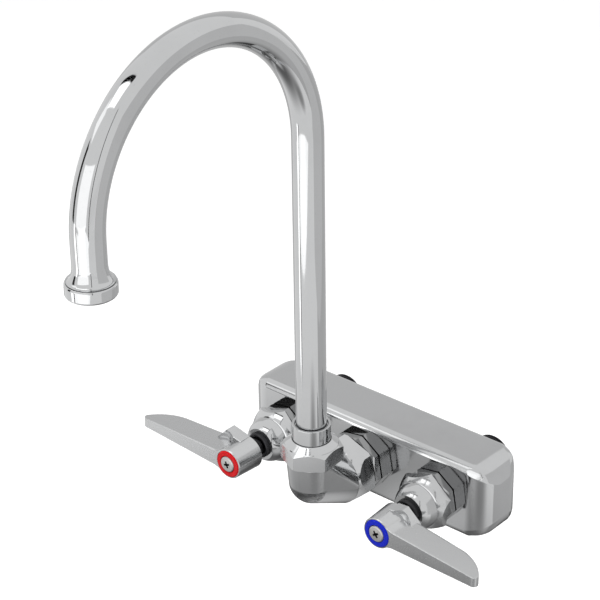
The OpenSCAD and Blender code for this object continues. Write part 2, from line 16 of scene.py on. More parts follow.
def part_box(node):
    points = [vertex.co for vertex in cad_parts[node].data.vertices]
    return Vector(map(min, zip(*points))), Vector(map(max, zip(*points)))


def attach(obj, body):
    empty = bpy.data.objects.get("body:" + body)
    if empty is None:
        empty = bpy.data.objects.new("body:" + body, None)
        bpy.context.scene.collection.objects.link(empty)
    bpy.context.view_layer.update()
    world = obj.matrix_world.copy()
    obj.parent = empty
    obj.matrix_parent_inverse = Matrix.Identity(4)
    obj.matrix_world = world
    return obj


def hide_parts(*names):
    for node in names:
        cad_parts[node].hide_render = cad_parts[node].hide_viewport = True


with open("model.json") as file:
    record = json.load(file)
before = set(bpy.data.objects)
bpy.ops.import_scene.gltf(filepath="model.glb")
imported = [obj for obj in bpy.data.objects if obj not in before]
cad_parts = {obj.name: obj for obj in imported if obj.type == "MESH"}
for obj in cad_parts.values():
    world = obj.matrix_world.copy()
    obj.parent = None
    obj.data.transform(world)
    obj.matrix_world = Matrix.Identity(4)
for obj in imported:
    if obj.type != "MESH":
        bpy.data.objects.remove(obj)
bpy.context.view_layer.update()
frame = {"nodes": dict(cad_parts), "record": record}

MM = 0.001
HEX = 6
ROUND_STEPS = 96
HEX_STEPS = 120
SIDES = {"hot": -1, "cold": 1}

# Gap of a close fit, how far a drill stands past the face that it cuts, how near a plane a face
# counts as lying in it, and how near each other points merge or count as cut through
CLEARANCE = 0.05 * MM
OVERCUT = MM
NEAR = 0.05 * MM
MERGE_GAP = 1e-6
CUT_GAP = 1e-7


# Places and sizes that the frame gives


def out_of_wall(node):
    """How far a node's back and front lie from the wall face."""
    low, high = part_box(node)
    return -high.y, -low.y


def half_width(node):
    """Half of a round node's width, which is its radius."""
    low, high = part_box(node)
    return (high.x - low.x) / 2


BODY_LOW, BODY_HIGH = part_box("faucet_body")
VALVE_X = sum(c.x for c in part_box("cold_valve_seat")) / 2
RISER_Y = sum(c.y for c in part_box("swivel_bush")) / 2
OUTLET_Y = sum(c.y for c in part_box("outlet_collar")) / 2
RING_BACK, RING_FRONT = out_of_wall("outlet_port_ring")
BODY_FRONT = -BODY_LOW.y
BONNET_BACK = out_of_wall("cold_bonnet_gasket")[1]
BONNET_INNER, DOME_FRONT = out_of_wall("cold_bonnet")
HUB_BACK, BLADE_FRONT = out_of_wall("cold_lever")
NUT_BOTTOM, NUT_TOP = (c.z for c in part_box("swivel_nut"))
SLEEVE_BOTTOM, SLEEVE_TOP = (c.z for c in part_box("swivel_sleeve"))
COLLAR_BOTTOM, COLLAR_TOP = (c.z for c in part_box("outlet_collar"))
ARCH_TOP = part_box("gooseneck_tube")[1].z
TUBE_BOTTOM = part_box("gooseneck_tube")[0].z
COLLAR_R = half_width("outlet_collar")
SLEEVE_R = half_width("swivel_sleeve")
INDEX_R = half_width("cold_index_ring")
SCREW_R = half_width("cold_handle_screw")
PACKING_NUT_R = half_width("cold_packing_nut")
SHANK_R = half_width("cold_inlet_shank")


# Building helpers


def lathe(points, closed=True, steps=ROUND_STEPS):
    """Turns a profile of (radius, height) points about Z. An open profile starts and ends at 0."""
    bm = bmesh.new()
    ring = [bm.verts.new((r, 0, h)) for r, h in points]
    edges = [bm.edges.new(pair) for pair in zip(ring, ring[1:])]
    if closed:
        edges.append(bm.edges.new((ring[-1], ring[0])))
    bmesh.ops.spin(
        bm, geom=ring + edges, cent=(0, 0, 0), axis=(0, 0, 1), angle=math.tau,
        steps=steps, use_merge=True,
    )
    tidy(bm)
    return bm


def tidy(bm):
    """Merges doubles and turns every face outwards."""
    bmesh.ops.remove_doubles(bm, verts=bm.verts, dist=MERGE_GAP)
    bmesh.ops.recalc_face_normals(bm, faces=bm.faces)


def arc(centre, radius, start, end, count):
    """Points of a profile's arc, from start to end in degrees, measured from the radius axis."""
    turns = [math.radians(start + (end - start) * i / count) for i in range(count + 1)]
    return [(centre[0] + radius * math.cos(t), centre[1] + radius * math.sin(t)) for t in turns]


def soften(bm, width, segments=3, sharper_than=28, chosen=None):
    """Rounds the edges that are sharper than an angle, so that they catch the light."""
    limit = math.radians(sharper_than)
    edges = [
        e for e in bm.edges
        if e.is_manifold and e.calc_face_angle() > limit and (chosen is None or chosen(e))
    ]
    bmesh.ops.bevel(
        bm, geom=edges, offset=width, offset_type="OFFSET", segments=segments, profile=0.5,
        affect="EDGES", clamp_overlap=True, material=-1,
    )


def only(kind, geometry):
    """The vertices or the edges in what an operator gives back."""
    return [g for g in geometry if isinstance(g, kind)]


def corner_radius(sides, apothem):
    """How far out the corners between wrench flats lie."""
    return apothem / math.cos(math.pi / sides)


def cut_flats(bm, count, apothem, corner):
    """Cuts wrench flats whose corners lie at corner + k turns, and closes each cut."""
    for k in range(count):
        turn = math.radians(corner) + math.tau * (k + 0.5) / count
        normal = Vector((math.cos(turn), math.sin(turn), 0))
        geometry = bm.verts[:] + bm.edges[:] + bm.faces[:]
        cut = bmesh.ops.bisect_plane(
            bm, geom=geometry, dist=CUT_GAP, plane_co=normal * apothem, plane_no=normal,
            clear_outer=True,
        )
        bmesh.ops.edgeloop_fill(bm, edges=only(BMEdge, cut["geom_cut"]))
    tidy(bm)


def grow(bm, rim):
    """Extrudes a rim of edges and gives back its new vertices."""
    grown = bmesh.ops.extrude_edge_only(bm, edges=rim)
    return only(BMVert, grown["geom"])


def raised(bm, height):
    """Extrudes a flat outline along Z into a closed bar."""
    grown = bmesh.ops.extrude_face_region(bm, geom=bm.faces[:])
    bmesh.ops.translate(bm, vec=(0, 0, height), verts=only(BMVert, grown["geom"]))
    return bm


def working_object(bm):
    """A short-lived object that modifiers can act on."""
    mesh = bpy.data.meshes.new("working")
    bm.to_mesh(mesh)
    bm.free()
    work = bpy.data.objects.new("working", mesh)
    bpy.context.scene.collection.objects.link(work)
    return work


def worked(first, *others):
    """The first working object's shape after its modifiers. All working objects are removed."""
    graph = bpy.context.evaluated_depsgraph_get()
    made = bpy.data.meshes.new_from_object(first.evaluated_get(graph))
    bm = bmesh.new()
    bm.from_mesh(made)
    bpy.data.meshes.remove(made)
    for work in (first, *others):
        mesh = work.data
        bpy.data.objects.remove(work)
        bpy.data.meshes.remove(mesh)
    tidy(bm)
    return bm


def combined(bm, other, operation):
    """Joins two closed shapes, or cuts the second out of the first."""
    first, second = working_object(bm), working_object(other)
    join = first.modifiers.new("join", "BOOLEAN")
    join.operation = operation
    join.solver = "EXACT"
    join.object = second
    return worked(first, second)


def move(bm, *matrices):
    """Moves a whole shape by the matrices in turn."""
    for matrix in matrices:
        bmesh.ops.transform(bm, matrix=matrix, verts=bm.verts)
        if matrix.determinant() < 0:
            bmesh.ops.reverse_faces(bm, faces=bm.faces)
    return bm


def on_valve(x):
    """Turns local Z out of the wall and moves it to a valve's axis."""
    return Matrix.Translation((x, 0, 0)) @ Matrix.Rotation(math.radians(90), 4, "X")


def on_riser(bm):
    """Moves a shape that is turned about Z to the riser's axis."""
    return move(bm, Matrix.Translation((0, RISER_Y, 0)))


def piece(bm, name, body, stands_for, finish, crease=32, flat=True):
    """Makes a shape into a named piece that rides on a body and stands for CAD nodes."""
    for face in bm.faces:
        face.smooth = True
    mesh = bpy.data.meshes.new(name)
    bm.to_mesh(mesh)
    bm.free()
    mesh.set_sharp_from_angle(angle=math.radians(crease))
    made = bpy.data.objects.new(name, mesh)
    bpy.context.scene.collection.objects.link(made)
    mesh.materials.append(finish)
    if flat:
        keep = made.modifiers.new("flats stay flat", "WEIGHTED_NORMAL")
        keep.keep_sharp = True
        keep.weight = 80
    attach(made, body)
    if stands_for:
        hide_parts(*stands_for)
    return made


# Finishes

METAL, PLASTIC = 1.0, 0.0
SMEAR_BAND = (0.48, 0.72)
DUST_BAND = (0.66, 0.74)
SMEAR_SCALE = 22.0
SMEAR_SHADE = 0.93


def group_sockets(name, inputs, outputs):
    """A new shader node group with its named sockets, and its input and output nodes."""
    group = bpy.data.node_groups.new(name, "ShaderNodeTree")
    for label, kind, value in inputs:
        socket = group.interface.new_socket(label, in_out="INPUT", socket_type=kind)
        if value is not None:
            socket.default_value = value
    for label, kind in outputs:
        group.interface.new_socket(label, in_out="OUTPUT", socket_type=kind)
    return group, group.nodes.new("NodeGroupInput"), group.nodes.new("NodeGroupOutput")


def noise_node(tree, vector, scale, detail, roughness=0.5):
    """A noise texture on a vector socket. Its scale is a number or a socket."""
    noise = tree.nodes.new("ShaderNodeTexNoise")
    noise.inputs["Detail"].default_value = detail
    noise.inputs["Roughness"].default_value = roughness
    tree.links.new(vector, noise.inputs["Vector"])
    if isinstance(scale, (int, float)):
        noise.inputs["Scale"].default_value = scale
    else:
        tree.links.new(scale, noise.inputs["Scale"])
    return noise.outputs["Fac"]


def math_node(tree, operation, first, second):
    """A math node on two values, each a number or a socket."""
    node = tree.nodes.new("ShaderNodeMath")
    node.operation = operation
    for socket, value in zip(node.inputs, (first, second)):
        if isinstance(value, (int, float)):
            socket.default_value = value
        else:
            tree.links.new(value, socket)
    return node.outputs[0]


def mapped(tree, value, source=(0, 1), target=(0, 1)):
    """A node that maps a value socket from one span to another."""
    node = tree.nodes.new("ShaderNodeMapRange")
    node.inputs["From Min"].default_value, node.inputs["From Max"].default_value = source
    node.inputs["To Min"].default_value, node.inputs["To Max"].default_value = target
    tree.links.new(value, node.inputs["Value"])
    return node


def handling_marks_group():
    """Wiping smears and fine dust, as a mask from 0, clean, to 1."""
    group, given, made = group_sockets(
        "handling marks",
        (("Vector", "NodeSocketVector", None), ("Smear Scale", "NodeSocketFloat", 18.0),
         ("Dust Scale", "NodeSocketFloat", 900.0)),
        (("Mask", "NodeSocketFloat"),),
    )
    vector = given.outputs["Vector"]
    smears = noise_node(group, vector, given.outputs["Smear Scale"], 4.0, 0.6)
    dust = noise_node(group, vector, given.outputs["Dust Scale"], 2.0)
    smear_band = mapped(group, smears, SMEAR_BAND)
    dust_band = mapped(group, dust, DUST_BAND)
    both = math_node(group, "MAXIMUM", smear_band.outputs["Result"], dust_band.outputs["Result"])
    group.links.new(both, made.inputs["Mask"])
    return group


def plating_ripple_group():
    """The slow waviness of a buffed casting, with fine grain on it, as a height."""
    group, given, made = group_sockets(
        "plating ripple",
        (("Vector", "NodeSocketVector", None), ("Wave Scale", "NodeSocketFloat", 60.0),
         ("Grain Scale", "NodeSocketFloat", 1500.0), ("Grain", "NodeSocketFloat", 0.1)),
        (("Height", "NodeSocketFloat"),),
    )
    vector = given.outputs["Vector"]
    waves = noise_node(group, vector, given.outputs["Wave Scale"], 1.0)
    grain = noise_node(group, vector, given.outputs["Grain Scale"], 2.0)
    fine = math_node(group, "MULTIPLY", grain, given.outputs["Grain"])
    height = math_node(group, "ADD", waves, fine)
    group.links.new(height, made.inputs["Height"])
    return group


def turning_lines_group():
    """Fine lines left by a lathe, as a height that rises and falls along one axis."""
    group, given, made = group_sockets(
        "turning lines",
        (("Vector", "NodeSocketVector", None), ("Scale", "NodeSocketFloat", 900.0)),
        (("Height", "NodeSocketFloat"),),
    )
    lines = group.nodes.new("ShaderNodeTexWave")
    lines.wave_type = "BANDS"
    lines.bands_direction = "Y"
    lines.inputs["Distortion"].default_value = 0.6
    group.links.new(given.outputs["Vector"], lines.inputs["Vector"])
    group.links.new(given.outputs["Scale"], lines.inputs["Scale"])
    group.links.new(lines.outputs["Fac"], made.inputs["Height"])
    return group


HANDLING_MARKS = handling_marks_group()
PLATING_RIPPLE = plating_ripple_group()
TURNING_LINES = turning_lines_group()


def placed_group(tree, group, vector, values):
    """A group in a material, on a vector, with its own values."""
    node = tree.nodes.new("ShaderNodeGroup")
    node.node_tree = group
    tree.links.new(vector, node.inputs["Vector"])
    for label, value in values.items():
        node.inputs[label].default_value = value
    return node


def ripple(waves, grain, share):
    """The relief of a buffed surface: the scales of its waves and grain, and the grain's share."""
    return PLATING_RIPPLE, {"Wave Scale": waves, "Grain Scale": grain, "Grain": share}


def turned(scale):
    """The relief of a turned surface: the scale of its lines."""
    return TURNING_LINES, {"Scale": scale}


def surface(name, colour, metallic, roughness, marked, relief, depth, gloss=0.5):
    """A finish whose roughness runs from clean to marked, with a low relief under it."""
    finish = bpy.data.materials.new(name)
    finish.use_nodes = True
    tree = finish.node_tree
    shader = tree.nodes["Principled BSDF"]
    shader.inputs["Metallic"].default_value = metallic
    shader.inputs["Specular IOR Level"].default_value = gloss
    place = tree.nodes.new("ShaderNodeTexCoord").outputs["Object"]
    marks = placed_group(tree, HANDLING_MARKS, place, {"Smear Scale": SMEAR_SCALE})
    rough = mapped(tree, marks.outputs["Mask"], target=(roughness, marked))
    tree.links.new(rough.outputs["Result"], shader.inputs["Roughness"])
    tint = tree.nodes.new("ShaderNodeMix")
    tint.data_type = "RGBA"
    tint.inputs["A"].default_value = (*colour, 1)
    tint.inputs["B"].default_value = (*(c * SMEAR_SHADE for c in colour), 1)
    tree.links.new(marks.outputs["Mask"], tint.inputs["Factor"])
    tree.links.new(tint.outputs["Result"], shader.inputs["Base Color"])
    group, values = relief
    shape = placed_group(tree, group, place, values)
    bump = tree.nodes.new("ShaderNodeBump")
    bump.inputs["Strength"].default_value = 1.0
    bump.inputs["Distance"].default_value = depth
    tree.links.new(shape.outputs["Height"], bump.inputs["Height"])
    tree.links.new(bump.outputs["Normal"], shader.inputs["Normal"])
    return finish


def enamel(name, colour):
    """A baked enamel with little gloss."""
    return surface(
        name, colour, PLASTIC, 0.3, 0.42, ripple(150.0, 2500.0, 0.15), 0.02 * MM, gloss=0.12
    )


CHROME_COLOUR = (0.55, 0.555, 0.56)
drawn_chrome = surface(
    "drawn chrome", CHROME_COLOUR, METAL, 0.05, 0.09, ripple(45.0, 2200.0, 0.02), 0.03 * MM,
)
cast_chrome = surface(
    "cast chrome", CHROME_COLOUR, METAL, 0.09, 0.16, ripple(70.0, 1500.0, 0.05), 0.05 * MM,
)
# The port rings' chrome, darkened as painted shade for the dark reflections on their facets
shaded_chrome = surface(
    "chrome darkened as painted shade", (0.3, 0.303, 0.306), METAL, 0.07, 0.13,
    ripple(70.0, 1500.0, 0.05), 0.05 * MM,
)
satin_chrome = surface(
    "satin chrome", (0.56, 0.565, 0.57), METAL, 0.2, 0.28,
    ripple(90.0, 1500.0, 0.12), 0.05 * MM,
)
dark_steel = surface(
    "dark machined steel", (0.045, 0.045, 0.048), METAL, 0.28, 0.45, turned(1100.0), 0.02 * MM,
)
screw_steel = surface(
    "stainless screw", (0.5, 0.49, 0.48), METAL, 0.36, 0.46,
    ripple(300.0, 3000.0, 0.3), 0.01 * MM,
)
# Near-black finish for the port rings' groove and front faces and the screws' cross recesses:
# painted shade where light doesn't reach
painted_recess_shade = surface(
    "painted recess shade", (0.02, 0.02, 0.022), METAL, 0.4, 0.55,
    ripple(300.0, 3000.0, 0.3), 0.01 * MM,
)
brass = surface(
    "machined brass", (0.5, 0.34, 0.1), METAL, 0.25, 0.4, turned(1300.0), 0.02 * MM
)
rubber = surface(
    "black rubber", (0.012, 0.012, 0.012), PLASTIC, 0.6, 0.8,
    ripple(200.0, 2500.0, 0.5), 0.03 * MM,
)
white_plastic = surface(
    "white bearing plastic", (0.68, 0.68, 0.65), PLASTIC, 0.4, 0.55,
    ripple(120.0, 2500.0, 0.3), 0.02 * MM,
)
red_enamel = enamel("red enamel", (0.55, 0.003, 0.006))
blue_enamel = enamel("blue enamel", (0.001, 0.012, 0.44))
FINISH_OF_SLOT = {
    "chrome": cast_chrome, "brass": brass, "dark_steel": dark_steel, "steel": screw_steel,
    "rubber": rubber, "white_plastic": white_plastic, "red_plastic": red_enamel,
    "blue_plastic": blue_enamel,
}

# Body casting

PLAN_CORNER_R = 14 * MM
END_CORNER_R = 12 * MM
LONG_EDGE_R = 4.6 * MM
CORNER_STEPS = 14
BORE_R = 7 * MM
THREAD_DEPTH = 0.9 * MM
SHANK_CORE_R = SHANK_R - THREAD_DEPTH
SHANK_END = out_of_wall("cold_inlet_shank")[1]
INLET_MOUTH_R = SHANK_R + 0.45 * MM
INLET_MOUTH_DEPTH = 0.8 * MM
CHAMBER_R = half_width("cold_valve_seat") + CLEARANCE
CHAMBER_BACK = out_of_wall("cold_valve_seat")[0]
PORT_THREAD_R = 11.9 * MM
PASSAGE_R = 3.7 * MM
PASSAGE_OUT = RING_BACK - PASSAGE_R - 0.2 * MM
OUTLET_WELL_R = 6 * MM


def valve_drill():
    """The inlet's socket, its bore, the valve chamber and the port, from the wall outwards."""
    socket_r, port_r = SHANK_CORE_R + CLEARANCE, PORT_THREAD_R + CLEARANCE
    return lathe([
        (0, -OVERCUT), (INLET_MOUTH_R, -OVERCUT), (INLET_MOUTH_R, INLET_MOUTH_DEPTH),
        (socket_r, INLET_MOUTH_DEPTH), (socket_r, SHANK_END), (BORE_R, SHANK_END),
        (BORE_R, CHAMBER_BACK), (CHAMBER_R, CHAMBER_BACK), (CHAMBER_R, RING_BACK),
        (port_r, RING_BACK), (port_r, BODY_FRONT + OVERCUT), (0, BODY_FRONT + OVERCUT),
    ], closed=False)


def outlet_drill():
    """The middle port and the well behind it."""
    port_r = PORT_THREAD_R + CLEARANCE
    well_back = PASSAGE_OUT - PASSAGE_R
    return lathe([
        (0, well_back), (OUTLET_WELL_R, well_back), (OUTLET_WELL_R, RING_BACK),
        (port_r, RING_BACK), (port_r, BODY_FRONT + OVERCUT), (0, BODY_FRONT + OVERCUT),
    ], closed=False)


def passage_drill():
    """The waterway that joins the two valve chambers and the middle port."""
    bm = bmesh.new()
    bmesh.ops.create_cone(
        bm, cap_ends=True, segments=48, radius1=PASSAGE_R, radius2=PASSAGE_R, depth=2 * VALVE_X,
        matrix=Matrix.Translation((0, -PASSAGE_OUT, 0)) @ Matrix.Rotation(math.pi / 2, 4, "Y"),
    )
    tidy(bm)
    return bm


def rounded_block():
    """A block with large plan corners, smaller end corners and a fillet along its length."""
    size = BODY_HIGH - BODY_LOW
    bm = bmesh.new()
    bmesh.ops.create_cube(bm, size=1)
    move(bm, Matrix.Diagonal((*size, 1)), Matrix.Translation((BODY_HIGH + BODY_LOW) / 2))
    weight = bm.edges.layers.float.new("bevel_weight_edge")
    share = {"x": LONG_EDGE_R, "y": END_CORNER_R, "z": PLAN_CORNER_R}
    for edge in bm.edges:
        run = edge.verts[0].co - edge.verts[1].co
        along = max("xyz", key=lambda a: abs(getattr(run, a)))
        edge[weight] = share[along] / PLAN_CORNER_R
    work = working_object(bm)
    corners = work.modifiers.new("corners", "BEVEL")
    corners.limit_method = "WEIGHT"
    corners.width = PLAN_CORNER_R
    corners.segments = CORNER_STEPS
    return worked(work)


def body_casting():
    """The block with its two valve bores, its middle port and the passage between them."""
    bm = rounded_block()
    for side in SIDES.values():
        bm = combined(bm, move(valve_drill(), on_valve(side * VALVE_X)), "DIFFERENCE")
    bm = combined(bm, move(outlet_drill(), on_valve(0)), "DIFFERENCE")
    return combined(bm, passage_drill(), "DIFFERENCE")


piece(body_casting(), "body_casting", "fixed_body", ["faucet_body"], cast_chrome)

# Port rings, two octagonal rims with a groove between them; their chrome is darkened and the
# groove painted near-black, both as painted shade

PORT_SIDES = 8
PORT_APOTHEM = {"hot": 14.25 * MM, "cold": 14.25 * MM, "outlet": 16.2 * MM}
PORT_CORNER = 32.5
PORT_BORE_R = 9.5 * MM
RIM_EDGE = 0.3 * MM
RIM_SLOPE = 1.2 * MM
FLAT_EDGE_R = 0.15 * MM
GROOVE_DEPTH = 2 * MM
GROOVE_W = MM
RIM_W = (RING_FRONT - BODY_FRONT - GROOVE_W) / 2


def port_ring(apothem):
    """Both rims and the groove in one profile, then cut to eight flats."""
    corner_r = corner_radius(PORT_SIDES, apothem)
    groove_r = apothem - GROOVE_DEPTH
    groove_back = BODY_FRONT + RIM_W
    groove_front = groove_back + GROOVE_W
    bm = lathe([
        (PORT_BORE_R, RING_BACK), (PORT_THREAD_R, RING_BACK),
        (PORT_THREAD_R, BODY_FRONT), (corner_r - RIM_EDGE, BODY_FRONT),
        (corner_r, BODY_FRONT + RIM_EDGE), (corner_r, groove_back - RIM_EDGE),
        (corner_r - RIM_EDGE, groove_back), (groove_r, groove_back), (groove_r, groove_front),
        (corner_r - RIM_EDGE, groove_front), (corner_r, groove_front + RIM_EDGE),
        (corner_r, RING_FRONT - RIM_SLOPE), (apothem - RIM_EDGE, RING_FRONT),
        (PORT_BORE_R, RING_FRONT),
    ])
    cut_flats(bm, PORT_SIDES, apothem, PORT_CORNER)
    soften(bm, FLAT_EDGE_R, 2, chosen=lambda e: e.verts[0].co.z > BODY_FRONT + NEAR)
    # Faces in the groove and on the ring's front take the second finish: painted near-black shade
    # in the gaps
    for face in bm.faces:
        height = face.calc_center_median().z
        in_groove = groove_back - RIM_EDGE < height < groove_front + RIM_EDGE
        if in_groove or height > RING_FRONT - NEAR:
            face.material_index = 1
    return bm


# Each ring is in darkened chrome, painted shade, with the near-black painted recess shade as its
# second finish
for name, x in (("hot", -VALVE_X), ("cold", VALVE_X), ("outlet", 0.0)):
    collar = piece(
        move(port_ring(PORT_APOTHEM[name]), on_valve(x)), f"{name}_port_collar", "fixed_body",
        [f"{name}_port_ring"], shaded_chrome,
    )
    collar.data.materials.append(painted_recess_shade)

# Bonnets: a crowned hexagon, a fine groove and a round dome with a dark mouth

BONNET_APOTHEM = 14.5 * MM
BONNET_HEX_H = 7 * MM
CROWN_R = 18.2 * MM
DOME_R = 12.6 * MM
DOME_SINK = 0.7 * MM
DOME_GROOVE = 0.3 * MM
DOME_GROOVE_DEPTH = 0.35 * MM
SKIRT_R = 9.45 * MM
MOUTH_R = PACKING_NUT_R + 0.1 * MM
BONNET_CORNER = {"hot": 13, "cold": 20}


def bonnet(corner):
    """Hexagon, groove and dome in one profile, then cut to its flats."""
    hex_front = BONNET_BACK + BONNET_HEX_H
    corner_r = corner_radius(HEX, BONNET_APOTHEM)
    crown_centre = (0, hex_front - math.sqrt(CROWN_R**2 - DOME_R**2))
    crown_start = math.degrees(math.acos(corner_r / CROWN_R))
    crown_end = math.degrees(math.acos((DOME_R + DOME_GROOVE) / CROWN_R))
    dome_centre = (0, hex_front - DOME_SINK)
    dome_start = math.degrees(math.asin((DOME_SINK + DOME_GROOVE) / DOME_R))
    dome_end = math.degrees(math.asin((DOME_FRONT - dome_centre[1]) / DOME_R))
    bm = lathe(
        [(MOUTH_R, BONNET_INNER), (SKIRT_R, BONNET_INNER), (SKIRT_R, BONNET_BACK),
         (corner_r, BONNET_BACK)]
        + arc(crown_centre, CROWN_R, crown_start, crown_end, 14)
        + [(DOME_R - DOME_GROOVE_DEPTH, hex_front)]
        + arc(dome_centre, DOME_R, dome_start, dome_end, 18)
        + [(MOUTH_R, DOME_FRONT)],
        steps=HEX_STEPS,
    )
    cut_flats(bm, HEX, BONNET_APOTHEM, corner)
    return bm


for side, sign in SIDES.items():
    piece(
        move(bonnet(BONNET_CORNER[side]), on_valve(sign * VALVE_X)), f"{side}_valve_bonnet",
        "fixed_body", [f"{side}_bonnet"], cast_chrome,
    )

# Packing nut and stem neck

NUT_FRONT = out_of_wall("cold_packing_nut")[1]
NUT_DEPTH = 3 * MM
NUT_SHANK_R = PACKING_NUT_R - 0.4 * MM
NUT_CHAMFER = 0.7 * MM
NUT_ROUND = 0.12 * MM
NECK_ROUND = 0.1 * MM
NECK_R = 5 * MM
NECK_PLAY = 0.15 * MM
NECK_GAP = 0.3 * MM
NECK_GROOVE = 0.7 * MM
NECK_GROOVE_DEPTH = 0.6 * MM
STEM_R = 4 * MM
STEM_END_R = 3 * MM


def packing_nut():
    """The round nut in the dome's mouth, with its shank inside the dome."""
    bore, back = NECK_R + NECK_PLAY, DOME_FRONT - NUT_DEPTH
    bm = lathe([
        (bore, back), (NUT_SHANK_R, back), (NUT_SHANK_R, DOME_FRONT), (PACKING_NUT_R, DOME_FRONT),
        (PACKING_NUT_R, NUT_FRONT - NUT_CHAMFER), (PACKING_NUT_R - NUT_CHAMFER, NUT_FRONT),
        (bore, NUT_FRONT),
    ], steps=72)
    soften(bm, NUT_ROUND, 2)
    return bm


def stem_neck():
    """The stem's dark neck, with the two fine grooves that show beside the handle."""
    back, front = NUT_FRONT + NECK_GAP, HUB_BACK
    inner, outer = out_of_wall("cold_stem")
    middle = (back + front) / 2
    groove_r = NECK_R - NECK_GROOVE_DEPTH
    bm = lathe([
        (0, inner), (STEM_R, inner), (STEM_R, back), (NECK_R, back),
        (NECK_R, middle - NECK_GROOVE), (groove_r, middle - NECK_GROOVE),
        (groove_r, middle + NECK_GROOVE), (NECK_R, middle + NECK_GROOVE),
        (NECK_R, front), (STEM_END_R, front), (STEM_END_R, outer), (0, outer),
    ], closed=False, steps=64)
    soften(bm, NECK_ROUND, 2)
    return bm


for side, sign in SIDES.items():
    place = on_valve(sign * VALVE_X)
    piece(move(packing_nut(), place), f"{side}_neck_nut", "fixed_body",
          [f"{side}_packing_nut"], dark_steel)
    piece(move(stem_neck(), place), f"{side}_spindle", f"{side}_handle",
          [f"{side}_stem"], dark_steel)

# Lever handles: hub, tapering blade and a gusset with a thumb scoop above and below

LEVER_REACH = 64 * MM
HUB_FRONT = BLADE_FRONT - 1.4 * MM
HUB_BACK_R = 9.3 * MM
HUB_FRONT_R = 8.4 * MM
HUB_DRAFT = 0.1 * MM
HUB_BACK_EDGE = (0.6 * MM, 0.8 * MM)
HUB_FRONT_EDGE = (0.2 * MM, 0.4 * MM)
BLADE_W = 16.1 * MM
BLADE_SLOPE = 4.5
SWEEP_R = 26 * MM
SWEEP_START = 42 * MM
TIP_CORNER_R = 2.5 * MM
ROOT_HALF_T = 5.3 * MM
TIP_HALF_T = 2.6 * MM
FLARE_FILLET_R = 12 * MM
RIDGE_SHARE = 0.09
BACK_EDGE_SHARE = 0.22
FLARE_STATIONS = 7
SWEEP_STATIONS = 10
TIP_STATIONS = 8
TIP_END_TURN = 84
SLOPE_START = 14.8 * MM
GUSSET_FRONT = HUB_BACK + 7.8 * MM
GUSSET_ROUND = 0.5 * MM
GUSSET_OUTLINE = {
    "cold": ((0, 9.6), (6.4, 10.5), (14.3, 4)),
    "hot": ((0, 9.4), (11.4, 11.4), (17.5, 4.2)),
}
SCOOP_CENTRE = {"cold": (8.5, 8, 11.5), "hot": (10.5, 6, 12.6)}
SCOOP_R = {"cold": 7 * MM, "hot": 8 * MM}
LEVER_TURN = {"hot": 3, "cold": 1.5}
INDEX_SEAT = out_of_wall("cold_index_ring")[0]


def rounded_corner(bm, vertex, length, segments):
    """Turns one corner of a flat outline into an arc that starts length before it."""
    bmesh.ops.bevel(
        bm, geom=[vertex], offset=length, offset_type="OFFSET", segments=segments, profile=0.5,
        affect="VERTICES", clamp_overlap=True, material=-1,
    )


def flare_reach():
    """Where the fillet between hub and blade leaves the blade's edge, along the lever."""
    centre_to_centre = HUB_FRONT_R + FLARE_FILLET_R
    return math.sqrt(centre_to_centre**2 - (ROOT_HALF_T + FLARE_FILLET_R) ** 2)


def blade_half(x):
    """Half the blade's thickness at x: a taper, with a fillet that meets the hub."""
    taper = ROOT_HALF_T + (TIP_HALF_T - ROOT_HALF_T) * x / LEVER_REACH
    inside = max(0, flare_reach() - x)
    return taper + FLARE_FILLET_R - math.sqrt(FLARE_FILLET_R**2 - inside**2)


def sweep_curves():
    """Centres of the back edge's sweep and of the tip, and where along the lever they meet."""
    slope = math.radians(BLADE_SLOPE)
    back = HUB_FRONT - BLADE_W + (SWEEP_START - SLOPE_START) * math.tan(slope)
    sweep = (SWEEP_START - SWEEP_R * math.sin(slope), back + SWEEP_R * math.cos(slope))
    tip_h = BLADE_FRONT - TIP_CORNER_R
    turn = math.asin((tip_h - sweep[1]) / (SWEEP_R - TIP_CORNER_R))
    tip = (sweep[0] + (SWEEP_R - TIP_CORNER_R) * math.cos(turn), tip_h)
    return sweep, tip, tip[0] + TIP_CORNER_R * math.cos(turn)


SWEEP, TIP, TIP_MEETS = sweep_curves()
BLADE_ROOT = flare_reach() * HUB_FRONT_R / (HUB_FRONT_R + FLARE_FILLET_R)


def blade_front(x):
    """Height of the blade's front edge: a slight rise from the hub, and the round tip."""
    if x > TIP[0]:
        return TIP[1] + math.sqrt(TIP_CORNER_R**2 - (x - TIP[0]) ** 2)
    return HUB_FRONT + (BLADE_FRONT - HUB_FRONT) * (x - BLADE_ROOT) / (TIP[0] - BLADE_ROOT)


def blade_back(x):
    """Height of the blade's back edge: level, then sloping, then swept up to the tip."""
    if x > TIP_MEETS:
        return TIP[1] - math.sqrt(TIP_CORNER_R**2 - (x - TIP[0]) ** 2)
    if x > SWEEP_START:
        return SWEEP[1] - math.sqrt(SWEEP_R**2 - (x - SWEEP[0]) ** 2)
    sloping = max(0, x - SLOPE_START)
    return HUB_FRONT - BLADE_W + sloping * math.tan(math.radians(BLADE_SLOPE))


